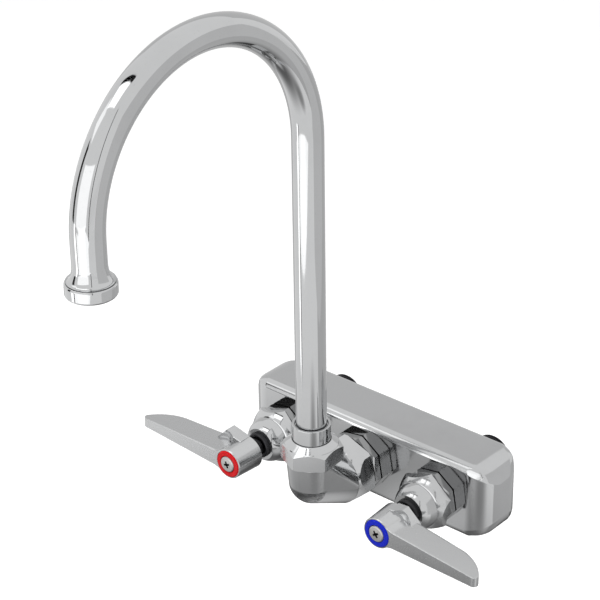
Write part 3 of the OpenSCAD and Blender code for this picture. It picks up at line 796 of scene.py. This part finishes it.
def blade():
    """A bar with rounded edges, cut at stations along the lever and shaped at each of them."""
    end = TIP[0] + TIP_CORNER_R * math.sin(math.radians(TIP_END_TURN))
    bm = bmesh.new()
    bmesh.ops.create_grid(bm, x_segments=1, y_segments=1, size=1)
    for corner in bm.verts[:]:
        front = corner.co.y > 0
        rounded_corner(bm, corner, RIDGE_SHARE if front else BACK_EDGE_SHARE, 5)
    raised(bm, 1)
    stations = [BLADE_ROOT + (flare_reach() - BLADE_ROOT) * k / FLARE_STATIONS
                for k in range(1, FLARE_STATIONS + 1)]
    stations += [SLOPE_START]
    stations += [SWEEP_START + (TIP[0] - SWEEP_START) * k / SWEEP_STATIONS
                 for k in range(SWEEP_STATIONS)]
    stations += [TIP[0] + TIP_CORNER_R * math.sin(math.radians(TIP_END_TURN * k / TIP_STATIONS))
                 for k in range(TIP_STATIONS)]
    for x in stations:
        along = (x - BLADE_ROOT) / (end - BLADE_ROOT)
        geometry = bm.verts[:] + bm.edges[:] + bm.faces[:]
        bmesh.ops.bisect_plane(
            bm, geom=geometry, dist=CUT_GAP, plane_co=(0, 0, along), plane_no=(0, 0, 1)
        )
    for vertex in bm.verts:
        across, up, along = vertex.co
        x = BLADE_ROOT + (end - BLADE_ROOT) * along
        front, back = blade_front(x), blade_back(x)
        height = (front + back) / 2 + up * (front - back) / 2
        vertex.co = Vector((x, across * blade_half(x), height))
    tidy(bm)
    return bm


def gusset():
    """The six-sided block behind the hub that carries the blade.

    Both levers are one casting. The cold one shows one of its faces, and the hot one the other.
    """
    bm = bmesh.new()
    outline = list(GUSSET_OUTLINE["cold"])
    outline += [(x, -y) for x, y in reversed(GUSSET_OUTLINE["hot"])]
    bm.faces.new([bm.verts.new((x * MM, y * MM, HUB_BACK)) for x, y in outline])
    raised(bm, GUSSET_FRONT - HUB_BACK)
    tidy(bm)
    soften(bm, GUSSET_ROUND, 3, chosen=lambda e: max(v.co.x for v in e.verts) > MM)
    return bm


def scoop(side):
    """The ball that hollows the gusset's front on one face of the lever."""
    bm = bmesh.new()
    bmesh.ops.create_icosphere(bm, subdivisions=5, radius=SCOOP_R[side])
    x, y, h = SCOOP_CENTRE[side]
    place = Matrix.Translation((x * MM, SIDES[side] * y * MM, HUB_BACK + h * MM))
    return move(bm, place)


def hub():
    """The tapering boss round the stem, with its edges broken."""
    back_in, back_up = HUB_BACK_EDGE
    front_in, front_down = HUB_FRONT_EDGE
    return lathe([
        (0, HUB_BACK), (HUB_BACK_R - back_in, HUB_BACK), (HUB_BACK_R, HUB_BACK + back_up),
        (HUB_FRONT_R + HUB_DRAFT, HUB_FRONT - front_down), (HUB_FRONT_R - front_in, HUB_FRONT),
        (0, HUB_FRONT),
    ], closed=False, steps=80)


def lever():
    """The whole casting, with the well for the index ring in its front."""
    bm = combined(gusset(), scoop("cold"), "DIFFERENCE")
    bm = combined(bm, scoop("hot"), "DIFFERENCE")
    bm = combined(bm, blade(), "UNION")
    bm = combined(bm, hub(), "UNION")
    well_r, well_front = INDEX_R + CLEARANCE, BLADE_FRONT + OVERCUT
    well = lathe([
        (0, INDEX_SEAT), (well_r, INDEX_SEAT), (well_r, well_front), (0, well_front),
    ], closed=False, steps=80)
    return combined(bm, well, "DIFFERENCE")


def lever_place(side):
    """Points the handle outwards, turns it to its rest and puts it on its valve."""
    outwards = 180 if side == "hot" else 0
    turn = Matrix.Rotation(math.radians(outwards - LEVER_TURN[side]), 4, "Z")
    return on_valve(SIDES[side] * VALVE_X) @ turn


for side in SIDES:
    piece(move(lever(), lever_place(side)), f"{side}_wing_lever", f"{side}_handle",
          [f"{side}_lever"], satin_chrome)

# Index rings and handle screws

INDEX_FRONT = out_of_wall("cold_index_ring")[1]
SCREW_BACK, SCREW_FRONT = out_of_wall("cold_handle_screw")
HEAD_BACK = SCREW_FRONT - 2 * MM
HEAD_CORNER_R = 0.9 * MM
HEAD_CORNER_BACK = SCREW_FRONT - 1.1 * MM
SCREW_SHANK_R = 1.9 * MM
INDEX_BORE_R = 2.1 * MM
INDEX_LIP = 0.25 * MM
INDEX_TAPER = 0.1 * MM
INDEX_EDGE = (0.6 * MM, 0.7 * MM)
INDEX_ROUND = 0.2 * MM
RECESS_LEN = 5.7 * MM
RECESS_W = 1.45 * MM
RECESS_DEPTH = 1.7 * MM
RECESS_TAPER = (0.45, 0.7)
RECESS_RIM = 0.2 * MM
RECESS_TURN = {"hot": 20, "cold": 32}


def index_ring():
    """The coloured ring round the screw's head, with its base under the head."""
    inner = SCREW_R + INDEX_LIP
    edge_in, edge_down = INDEX_EDGE
    bm = lathe([
        (INDEX_BORE_R, INDEX_SEAT), (INDEX_R, INDEX_SEAT),
        (INDEX_R - INDEX_TAPER, INDEX_FRONT - edge_down), (INDEX_R - edge_in, INDEX_FRONT),
        (inner, INDEX_FRONT), (inner, HEAD_BACK), (INDEX_BORE_R, HEAD_BACK),
    ])
    soften(bm, INDEX_ROUND, 3, chosen=lambda e: e.verts[0].co.z > HEAD_BACK + NEAR)
    return bm


def recess_bar():
    """One bar of the cross recess, which narrows towards its bottom."""
    bm = bmesh.new()
    bmesh.ops.create_cube(bm, size=1)
    for vertex in bm.verts:
        if vertex.co.z < 0:
            vertex.co.x *= RECESS_TAPER[0]
            vertex.co.y *= RECESS_TAPER[1]
    return move(bm, Matrix.Diagonal((RECESS_LEN, RECESS_W, 2 * RECESS_DEPTH, 1)),
                Matrix.Translation((0, 0, SCREW_FRONT)))


def handle_screw(turn):
    """A pan head with a cross recess, on its shank."""
    crown = arc((SCREW_R - HEAD_CORNER_R, HEAD_CORNER_BACK), HEAD_CORNER_R, 0, 84, 7)
    bm = lathe(
        [(0, SCREW_BACK), (SCREW_SHANK_R, SCREW_BACK), (SCREW_SHANK_R, HEAD_BACK),
         (SCREW_R, HEAD_BACK)]
        + crown + [(0, SCREW_FRONT)],
        closed=False, steps=64,
    )
    cross = combined(recess_bar(), move(recess_bar(), Matrix.Rotation(math.pi / 2, 4, "Z")),
                     "UNION")
    move(cross, Matrix.Rotation(math.radians(turn), 4, "Z"))
    bm = combined(bm, cross, "DIFFERENCE")
    # The sunk faces of the cross take the second finish: painted near-black shade in the recess
    for face in bm.faces:
        middle = face.calc_center_median()
        sunk = HEAD_BACK < middle.z < SCREW_FRONT - RECESS_RIM
        if sunk and middle.xy.length < RECESS_LEN / 2:
            face.material_index = 1
    return bm


for side, sign in SIDES.items():
    place = on_valve(sign * VALVE_X)
    finish, slot = (red_enamel, "red_plastic") if side == "hot" else (blue_enamel, "blue_plastic")
    piece(move(index_ring(), place), f"{side}_index", f"{side}_handle",
          [f"{side}_index_ring"], finish)
    screw = piece(move(handle_screw(RECESS_TURN[side]), place), f"{side}_screw", f"{side}_handle",
                  [f"{side}_handle_screw"], screw_steel)
    # The screw's second finish is the near-black painted shade for its recess
    screw.data.materials.append(painted_recess_shade)

# Elbow: thread and hexagonal collar, round-bottomed body and the neck under the nut

ELBOW_R = 12.2 * MM
ELBOW_BALL_Z = 6.3 * MM
ELBOW_RIM_R = 16 * MM
ELBOW_RIM_T = MM
ELBOW_RIM_EDGE = (0.4 * MM, 0.2 * MM)
CUP_R = 13.3 * MM
CUP_EDGE = (0.5 * MM, 0.8 * MM)
ELBOW_COLLAR_APOTHEM = 16.2 * MM
ELBOW_COLLAR_CORNER = 40
ELBOW_COLLAR_LEN = 12 * MM
ELBOW_COLLAR_FRONT = BONNET_BACK + ELBOW_COLLAR_LEN
ELBOW_CROWN_R = 19.5 * MM
ELBOW_FOOT_EDGE = (0.8 * MM, MM)
THREAD_R = 12 * MM
SOCKET_R = 9.2 * MM
SOCKET_BOTTOM = SLEEVE_BOTTOM - 0.3 * MM
NECK_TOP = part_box("swivel_bush")[0].z


def elbow_collar():
    """The thread in the port, and the hexagonal collar with its crowned front."""
    corner_r = corner_radius(HEX, ELBOW_COLLAR_APOTHEM)
    start = math.degrees(math.acos(corner_r / ELBOW_CROWN_R))
    end = math.degrees(math.asin(ELBOW_COLLAR_LEN / ELBOW_CROWN_R))
    edge_in, edge_up = ELBOW_FOOT_EDGE
    bm = lathe(
        [(0, BONNET_INNER), (SKIRT_R, BONNET_INNER), (SKIRT_R, BONNET_BACK),
         (corner_r - edge_in, BONNET_BACK), (corner_r, BONNET_BACK + edge_up)]
        + arc((0, BONNET_BACK), ELBOW_CROWN_R, start, end, 14) + [(0, ELBOW_COLLAR_FRONT)],
        closed=False, steps=HEX_STEPS,
    )
    cut_flats(bm, HEX, ELBOW_COLLAR_APOTHEM, ELBOW_COLLAR_CORNER)
    return move(bm, on_valve(0))


def elbow_knuckle():
    """The elbow's round-bottomed body, drawn out from its rim to the upright cup."""
    bm = bmesh.new()
    bmesh.ops.create_uvsphere(
        bm, u_segments=96, v_segments=48, radius=ELBOW_R,
        matrix=Matrix.Translation((0, RISER_Y, ELBOW_BALL_Z)),
    )
    edge_in, edge_back = ELBOW_RIM_EDGE
    rim_rounds = (
        (ELBOW_RIM_R - edge_in, ELBOW_COLLAR_FRONT - edge_back),
        (ELBOW_RIM_R, ELBOW_COLLAR_FRONT + edge_back),
        (ELBOW_RIM_R, ELBOW_COLLAR_FRONT + ELBOW_RIM_T),
    )
    for radius, out in rim_rounds:
        place = on_valve(0) @ Matrix.Translation((0, 0, out))
        bmesh.ops.create_circle(bm, radius=radius, segments=HEX_STEPS, matrix=place)
    edge_in, edge_down = CUP_EDGE
    for radius, height in ((CUP_R, NUT_BOTTOM - edge_down), (CUP_R - edge_in, NUT_BOTTOM)):
        place = Matrix.Translation((0, RISER_Y, height))
        bmesh.ops.create_circle(bm, radius=radius, segments=HEX_STEPS, matrix=place)
    made = bmesh.ops.convex_hull(bm, input=bm.verts[:])
    spare = only(BMVert, made["geom_interior"] + made["geom_unused"])
    bmesh.ops.delete(bm, geom=spare, context="VERTS")
    tidy(bm)
    return bm


def elbow_neck():
    """The thread that the swivel nut is on, seen only in the gap under the nut."""
    return on_riser(lathe(
        [(0, ELBOW_BALL_Z), (THREAD_R, ELBOW_BALL_Z), (THREAD_R, NECK_TOP), (0, NECK_TOP)],
        closed=False,
    ))


def elbow():
    """Body, collar and neck in one casting, with the sleeve's socket in it."""
    bm = combined(elbow_knuckle(), elbow_collar(), "UNION")
    bm = combined(bm, elbow_neck(), "UNION")
    socket_top = NECK_TOP + OVERCUT
    socket = lathe([
        (0, SOCKET_BOTTOM), (SOCKET_R, SOCKET_BOTTOM), (SOCKET_R, socket_top), (0, socket_top),
    ], closed=False)
    return combined(bm, on_riser(socket), "DIFFERENCE")


piece(elbow(), "spout_elbow", "fixed_body", ["outlet_elbow"], cast_chrome, crease=24)

# Swivel nut and sleeve

NUT_APOTHEM = 14.2 * MM
NUT_CORNER = 34.8
NUT_HEX_H = 9.2 * MM
NUT_SHOULDER_R = 14 * MM
NUT_STEP = (0.15 * MM, 0.45 * MM)
NUT_TOP_R = 11 * MM
NUT_TOP_EDGE = 0.4 * MM
NUT_FOOT_EDGE = (0.9 * MM, 0.7 * MM)
NUT_HEX_CHAMFER = 1.7 * MM
NUT_PLAY = 0.3 * MM
NUT_LIP_T = 3 * MM
SLEEVE_FOOT_R = 8.8 * MM
SLEEVE_BORE_R = 6.5 * MM
SLEEVE_SHOULDER = NUT_TOP - 2.7 * MM
SLEEVE_GAP_R = 8.65 * MM
SLEEVE_GAP_DEPTH = 1.6 * MM
SLEEVE_ROUND = 0.35 * MM
TUBE_R = 7.95 * MM


def swivel_nut():
    """A hexagon with a chamfered top and a domed shoulder round the sleeve."""
    corner_r = corner_radius(HEX, NUT_APOTHEM)
    shoulder = NUT_BOTTOM + NUT_HEX_H
    bore = SLEEVE_R + NUT_PLAY
    thread = THREAD_R + CLEARANCE
    lip = NUT_TOP - NUT_LIP_T
    edge_in, edge_up = NUT_FOOT_EDGE
    step_in, step_up = NUT_STEP
    bm = lathe([
        (bore, lip), (thread, lip), (thread, NUT_BOTTOM), (corner_r - edge_in, NUT_BOTTOM),
        (corner_r, NUT_BOTTOM + edge_up),
        (corner_r, shoulder - NUT_HEX_CHAMFER), (NUT_SHOULDER_R, shoulder),
        (NUT_SHOULDER_R - step_in, shoulder + step_up), (NUT_TOP_R, NUT_TOP - NUT_TOP_EDGE),
        (NUT_TOP_R - NUT_TOP_EDGE, NUT_TOP), (bore, NUT_TOP),
    ], steps=HEX_STEPS)
    cut_flats(bm, HEX, NUT_APOTHEM, NUT_CORNER)
    soften(
        bm, FLAT_EDGE_R, 2, sharper_than=20,
        chosen=lambda e: e.verts[0].co.xy.length > bore + MM,
    )
    return on_riser(bm)


def swivel_sleeve():
    """The sleeve on the tube's foot, with the dark gap round the tube at its top."""
    tube_seat_r = TUBE_R + CLEARANCE
    gap_bottom = SLEEVE_TOP - SLEEVE_GAP_DEPTH
    bm = lathe([
        (SLEEVE_BORE_R, SLEEVE_BOTTOM), (SLEEVE_FOOT_R, SLEEVE_BOTTOM),
        (SLEEVE_FOOT_R, SLEEVE_SHOULDER), (SLEEVE_R, SLEEVE_SHOULDER), (SLEEVE_R, SLEEVE_TOP),
        (SLEEVE_GAP_R, SLEEVE_TOP), (SLEEVE_GAP_R, gap_bottom), (tube_seat_r, gap_bottom),
        (tube_seat_r, TUBE_BOTTOM), (SLEEVE_BORE_R, TUBE_BOTTOM),
    ])
    soften(bm, SLEEVE_ROUND, 3)
    return on_riser(bm)


piece(swivel_nut(), "spout_nut", "fixed_body", ["swivel_nut"], cast_chrome)
piece(swivel_sleeve(), "spout_sleeve", "gooseneck", ["swivel_sleeve"], drawn_chrome)

# Gooseneck tube with its flared end

ARCH_R = (RISER_Y - OUTLET_Y) / 2
ARCH_Z = ARCH_TOP - ARCH_R - TUBE_R
FLARE_END = COLLAR_TOP + 0.5 * MM
FLARE_H = 7.5 * MM
FLARE_R = 11.2 * MM
FLARE_STEPS = 8
OUTLET_THREAD_R = 10.2 * MM
SPIGOT_END = COLLAR_BOTTOM + 3.6 * MM
COLLAR_LIP_R = 9 * MM
COLLAR_LIP_T = 1.2 * MM
COLLAR_EDGE = 0.5 * MM
COLLAR_SLOPE = 0.8 * MM
COLLAR_ROUND = 0.25 * MM


def gooseneck():
    """A circle carried up the riser, over the arch and down, then widened into the flare."""
    bm = bmesh.new()
    bmesh.ops.create_circle(bm, cap_ends=True, radius=TUBE_R, segments=64)
    move(bm, Matrix.Translation((0, RISER_Y, TUBE_BOTTOM)))
    top = grow(bm, bm.edges[:])
    for vertex in top:
        vertex.co.z = ARCH_Z
    rim = [e for e in bm.edges if all(v in top for v in e.verts)]
    swept = bmesh.ops.spin(
        bm, geom=rim, cent=(0, RISER_Y - ARCH_R, ARCH_Z), axis=(1, 0, 0), angle=math.pi, steps=90,
    )
    rim = only(BMEdge, swept["geom_last"])
    widths = [(TUBE_R, FLARE_END + FLARE_H)]
    for i in range(1, FLARE_STEPS + 1):
        turn = math.pi / 2 * i / FLARE_STEPS
        widths.append((TUBE_R + (FLARE_R - TUBE_R) * (1 - math.cos(turn)),
                       FLARE_END + FLARE_H * (1 - math.sin(turn))))
    widths += [(OUTLET_THREAD_R, FLARE_END), (OUTLET_THREAD_R, SPIGOT_END)]
    for radius, height in widths:
        end = grow(bm, rim)
        present = max(Vector((v.co.x, v.co.y - OUTLET_Y)).length for v in end)
        for vertex in end:
            flat = Vector((vertex.co.x, vertex.co.y - OUTLET_Y)) * radius / present
            vertex.co = Vector((flat.x, OUTLET_Y + flat.y, height))
        rim = [e for e in bm.edges if all(v in end for v in e.verts)]
    bmesh.ops.edgeloop_fill(bm, edges=rim)
    tidy(bm)
    return bm


def outlet_collar():
    """The ring that is screwed on the spout's end, with the lip that holds the screen."""
    inner = OUTLET_THREAD_R + CLEARANCE
    lip_top = COLLAR_BOTTOM + COLLAR_LIP_T
    bm = lathe([
        (COLLAR_LIP_R, COLLAR_BOTTOM), (COLLAR_R - COLLAR_EDGE, COLLAR_BOTTOM),
        (COLLAR_R, COLLAR_BOTTOM + COLLAR_SLOPE), (COLLAR_R, COLLAR_TOP - COLLAR_SLOPE),
        (COLLAR_R - COLLAR_EDGE, COLLAR_TOP), (inner, COLLAR_TOP), (inner, lip_top),
        (COLLAR_LIP_R, lip_top),
    ])
    soften(bm, COLLAR_ROUND, 3, sharper_than=20)
    return move(bm, Matrix.Translation((0, OUTLET_Y, 0)))


piece(gooseneck(), "gooseneck_pipe", "gooseneck", ["gooseneck_tube"], drawn_chrome)
piece(outlet_collar(), "spout_ring", "gooseneck", ["outlet_collar"], drawn_chrome)

# Inlet shanks with a true helical thread

THREAD_PITCH = 1.8 * MM
THREAD_START = 0.3 * MM
RIDGE_SINK = 0.2 * MM
THREAD_TURNS = 8
THREAD_STEPS = 48
RIDGE_HALF_FOOT = 0.45 * THREAD_PITCH
RIDGE_CREST = (0.8, 1.2)
SHANK_ROUND = 0.4 * MM


def inlet_shank(x):
    """A plain pipe with a ridge wound round it."""
    back = out_of_wall("cold_inlet_shank")[0]
    bm = lathe([
        (BORE_R, back), (SHANK_CORE_R, back), (SHANK_CORE_R, SHANK_END), (BORE_R, SHANK_END),
    ], steps=72)
    soften(bm, SHANK_ROUND, 2)
    start = back + THREAD_START
    root_r = SHANK_CORE_R - RIDGE_SINK
    crest_start, crest_end = (start + share * RIDGE_HALF_FOOT for share in RIDGE_CREST)
    ridge = (
        (root_r, start), (SHANK_R, crest_start), (SHANK_R, crest_end),
        (root_r, start + 2 * RIDGE_HALF_FOOT),
    )
    first = bm.faces.new([bm.verts.new((r, 0, h)) for r, h in ridge])
    steps = THREAD_TURNS * THREAD_STEPS
    bmesh.ops.spin(
        bm, geom=[first], cent=(0, 0, 0), axis=(0, 0, 1), angle=math.tau * THREAD_TURNS,
        steps=steps, dvec=(0, 0, THREAD_PITCH / THREAD_STEPS),
    )
    tidy(bm)
    return move(bm, on_valve(x))


for side, sign in SIDES.items():
    piece(inlet_shank(sign * VALVE_X), f"{side}_threaded_shank", "fixed_body",
          [f"{side}_inlet_shank"], dark_steel)

# Finishes of the CAD nodes that stay

slot_of_node = {s["node"]: s["material_slot"] for s in frame["record"]["subparts"]}
for name, node in frame["nodes"].items():
    for holder in node.material_slots:
        holder.material = FINISH_OF_SLOT[slot_of_node[name]]

# Floor, lights and camera

FLOOR_Z = -0.6
TABLE_Z = -0.35
FLOOR_SHADE = 0.86

# Glow of the room, and what it gains for the rays that see it as white
ROOM_GLOW = 0.6
WHITE_GAIN = 0.4


def background_share(tree):
    """1 for the rays that see the background as white: camera, glossy and transmission rays."""
    rays = tree.nodes.new("ShaderNodeLightPath")
    seen = math_node(tree, "MAXIMUM", rays.outputs["Is Camera Ray"], rays.outputs["Is Glossy Ray"])
    return math_node(tree, "MAXIMUM", seen, rays.outputs["Is Transmission Ray"])


def studio_plane(name, finish, width, height, *matrices):
    """A flat piece of the studio, which isn't part of the faucet."""
    bm = bmesh.new()
    bmesh.ops.create_grid(bm, x_segments=1, y_segments=1, size=0.5)
    move(bm, Matrix.Diagonal((width, height, 1, 1)), *matrices)
    mesh = bpy.data.meshes.new(name)
    bm.to_mesh(mesh)
    bm.free()
    mesh.materials.append(finish)
    plane = bpy.data.objects.new(name, mesh)
    bpy.context.scene.collection.objects.link(plane)
    return plane


def studio_floor():
    """A pale floor that keeps the faucet's shadow and is white to the camera."""
    paint = bpy.data.materials.new("pale floor")
    paint.use_nodes = True
    tree = paint.node_tree
    shader = tree.nodes["Principled BSDF"]
    shader.inputs["Base Color"].default_value = (FLOOR_SHADE, FLOOR_SHADE, FLOOR_SHADE, 1)
    shader.inputs["Roughness"].default_value = 0.9
    shader.inputs["Emission Color"].default_value = (1, 1, 1, 1)
    gain = math_node(tree, "MULTIPLY", background_share(tree), WHITE_GAIN)
    tree.links.new(gain, shader.inputs["Emission Strength"])
    studio_plane("floor", paint, 24, 24, Matrix.Translation((0, 0, FLOOR_Z)))


def studio_world():
    """An even light from all sides, which is white to the camera."""
    world = bpy.data.worlds.new("studio")
    world.use_nodes = True
    tree = world.node_tree
    glow = tree.nodes["Background"]
    glow.inputs["Color"].default_value = (1, 1, 1, 1)
    gain = math_node(tree, "MULTIPLY", background_share(tree), WHITE_GAIN)
    tree.links.new(math_node(tree, "ADD", gain, ROOM_GLOW), glow.inputs["Strength"])
    bpy.context.scene.world = world


def softbox(name, place, target, width, height, power):
    """A large soft lamp that points at its target and isn't seen itself."""
    light = bpy.data.lights.new(name, "AREA")
    light.shape = "RECTANGLE"
    light.size, light.size_y = width, height
    light.energy = power
    lamp = bpy.data.objects.new(name, light)
    lamp.location = place
    lamp.rotation_mode = "QUATERNION"
    lamp.rotation_quaternion = (Vector(target) - Vector(place)).to_track_quat("-Z", "Y")
    lamp.visible_camera = lamp.visible_glossy = False
    bpy.context.scene.collection.objects.link(lamp)


def card(name, place, width, height, glow, lying=False, soft_rim=None):
    """A card that only reflections see, as studios stand beside chrome, from black to bright.

    With a soft rim, given as two radii from its middle, the card fades out between them.
    """
    paint = bpy.data.materials.new(name)
    paint.use_nodes = True
    tree = paint.node_tree
    shader = tree.nodes["Principled BSDF"]
    shader.inputs["Base Color"].default_value = (0, 0, 0, 1)
    shader.inputs["Specular IOR Level"].default_value = 0
    shader.inputs["Emission Color"].default_value = (1, 1, 1, 1)
    shader.inputs["Emission Strength"].default_value = glow
    if soft_rim:
        from_middle = tree.nodes.new("ShaderNodeVectorMath")
        from_middle.operation = "LENGTH"
        tree.links.new(tree.nodes.new("ShaderNodeTexCoord").outputs["Object"],
                       from_middle.inputs[0])
        fade = mapped(tree, from_middle.outputs["Value"], soft_rim, (1, 0))
        fade.interpolation_type = "SMOOTHSTEP"
        tree.links.new(fade.outputs["Result"], shader.inputs["Alpha"])
    facing = Matrix.Identity(4)
    if not lying:
        facing = Vector((place[0], place[1], 0)).to_track_quat("-Z", "Y").to_matrix().to_4x4()
    made = studio_plane(name, paint, width, height, facing)
    made.location = place
    made.visible_camera = made.visible_diffuse = made.visible_shadow = False
    made.visible_transmission = False


CAMERA_PLACE = Vector((579.7, -742.4, 579.7)) * MM
CAMERA_AZIMUTH = math.radians(41.25)
CAMERA_PITCH = math.radians(27.87)
CAMERA_ROLL = math.radians(-0.89)
CAMERA_LENS = 121.5
SENSOR_WIDTH = 36


def photo_camera():
    """The camera of the photograph, found from the outlines of the body and the gooseneck."""
    across, pitch = CAMERA_AZIMUTH, CAMERA_PITCH
    back = Vector((math.sin(across) * math.cos(pitch), -math.cos(across) * math.cos(pitch),
                   math.sin(pitch)))
    right = Vector((math.cos(across), math.sin(across), 0))
    up = back.cross(right)
    camera = bpy.data.objects.new("camera", bpy.data.cameras.new("camera"))
    camera.data.sensor_width = SENSOR_WIDTH
    camera.data.lens = CAMERA_LENS
    camera.matrix_world = (
        Matrix.Translation(CAMERA_PLACE) @ Matrix((right, up, back)).transposed().to_4x4()
        @ Matrix.Rotation(CAMERA_ROLL, 4, "Z")
    )
    bpy.context.scene.collection.objects.link(camera)
    bpy.context.scene.camera = camera


studio_floor()
studio_world()
softbox("top light", (0.2, -0.5, 1.6), (0, -0.1, 0.1), 1.2, 1.2, 16)
softbox("left light", (-1.3, -0.9, 0.7), (0, -0.1, 0.1), 0.5, 1.2, 12)
softbox("right light", (1.5, -0.4, 0.5), (0, -0.1, 0.1), 0.5, 1.2, 6)
card("white table", (0, -1.5, TABLE_Z), 3, 3, 1.0, lying=True)
card("grey table", (0, 1.5, TABLE_Z), 3, 3, 0.62, lying=True)
# The near shade, right shade and body shade cards are dark sheets under the faucet that stand in
# for its shadow as reflections see it: painted shade
card("near shade", (0.0, -0.09, -0.14), 0.8, 0.8, 0.16, lying=True, soft_rim=(0.05, 0.36))
card("right shade", (0.22, -0.24, -0.145), 0.32, 0.32, 0.42, lying=True, soft_rim=(0.03, 0.15))
card("bright floor", (0.1, -1.4, TABLE_Z + 0.005), 1.9, 0.8, 1.75, lying=True)
card("body shade", (0.0, 0.04, -0.07), 0.24, 0.24, 0.05, lying=True, soft_rim=(0.05, 0.11))
card("white strip", (-0.41, -0.7, -0.15), 0.1, 0.4, 2.6)
card("black strip", (-0.3, -0.75, -0.15), 0.04, 0.4, 0.0)
card("front softbox", (0.1, -0.85, -0.1), 0.5, 0.3, 1.9)
card("high softbox", (-0.55, -0.6, 0.75), 0.35, 0.35, 1.6)
card("overhead softbox", (-0.2, -0.5, 0.9), 0.6, 0.25, 2.2, lying=True)
card("overhead flag", (-0.2, -0.34, 0.9), 0.7, 0.06, 0.0, lying=True)
card("dark room left", (-0.95, -0.9, 0.3), 0.3, 0.8, 0.04)
card("dark doorway", (0.95, -1.0, 0.65), 0.07, 1.9, 0.04)
card("white front wall", (0.1, -1.75, 0.3), 1.9, 1.1, 1.7)
card("grey right wall", (0.75, 0.3, 0.1), 1.2, 0.9, 0.75)
card("grey back wall", (-0.9, 1.2, 0.6), 2.4, 1.6, 0.72)
card("elbow light", (0.02, -0.07, -0.045), 0.12, 0.12, 0.65, lying=True, soft_rim=(0.015, 0.055))
photo_camera()

bpy.context.scene.view_settings.view_transform = "Standard"
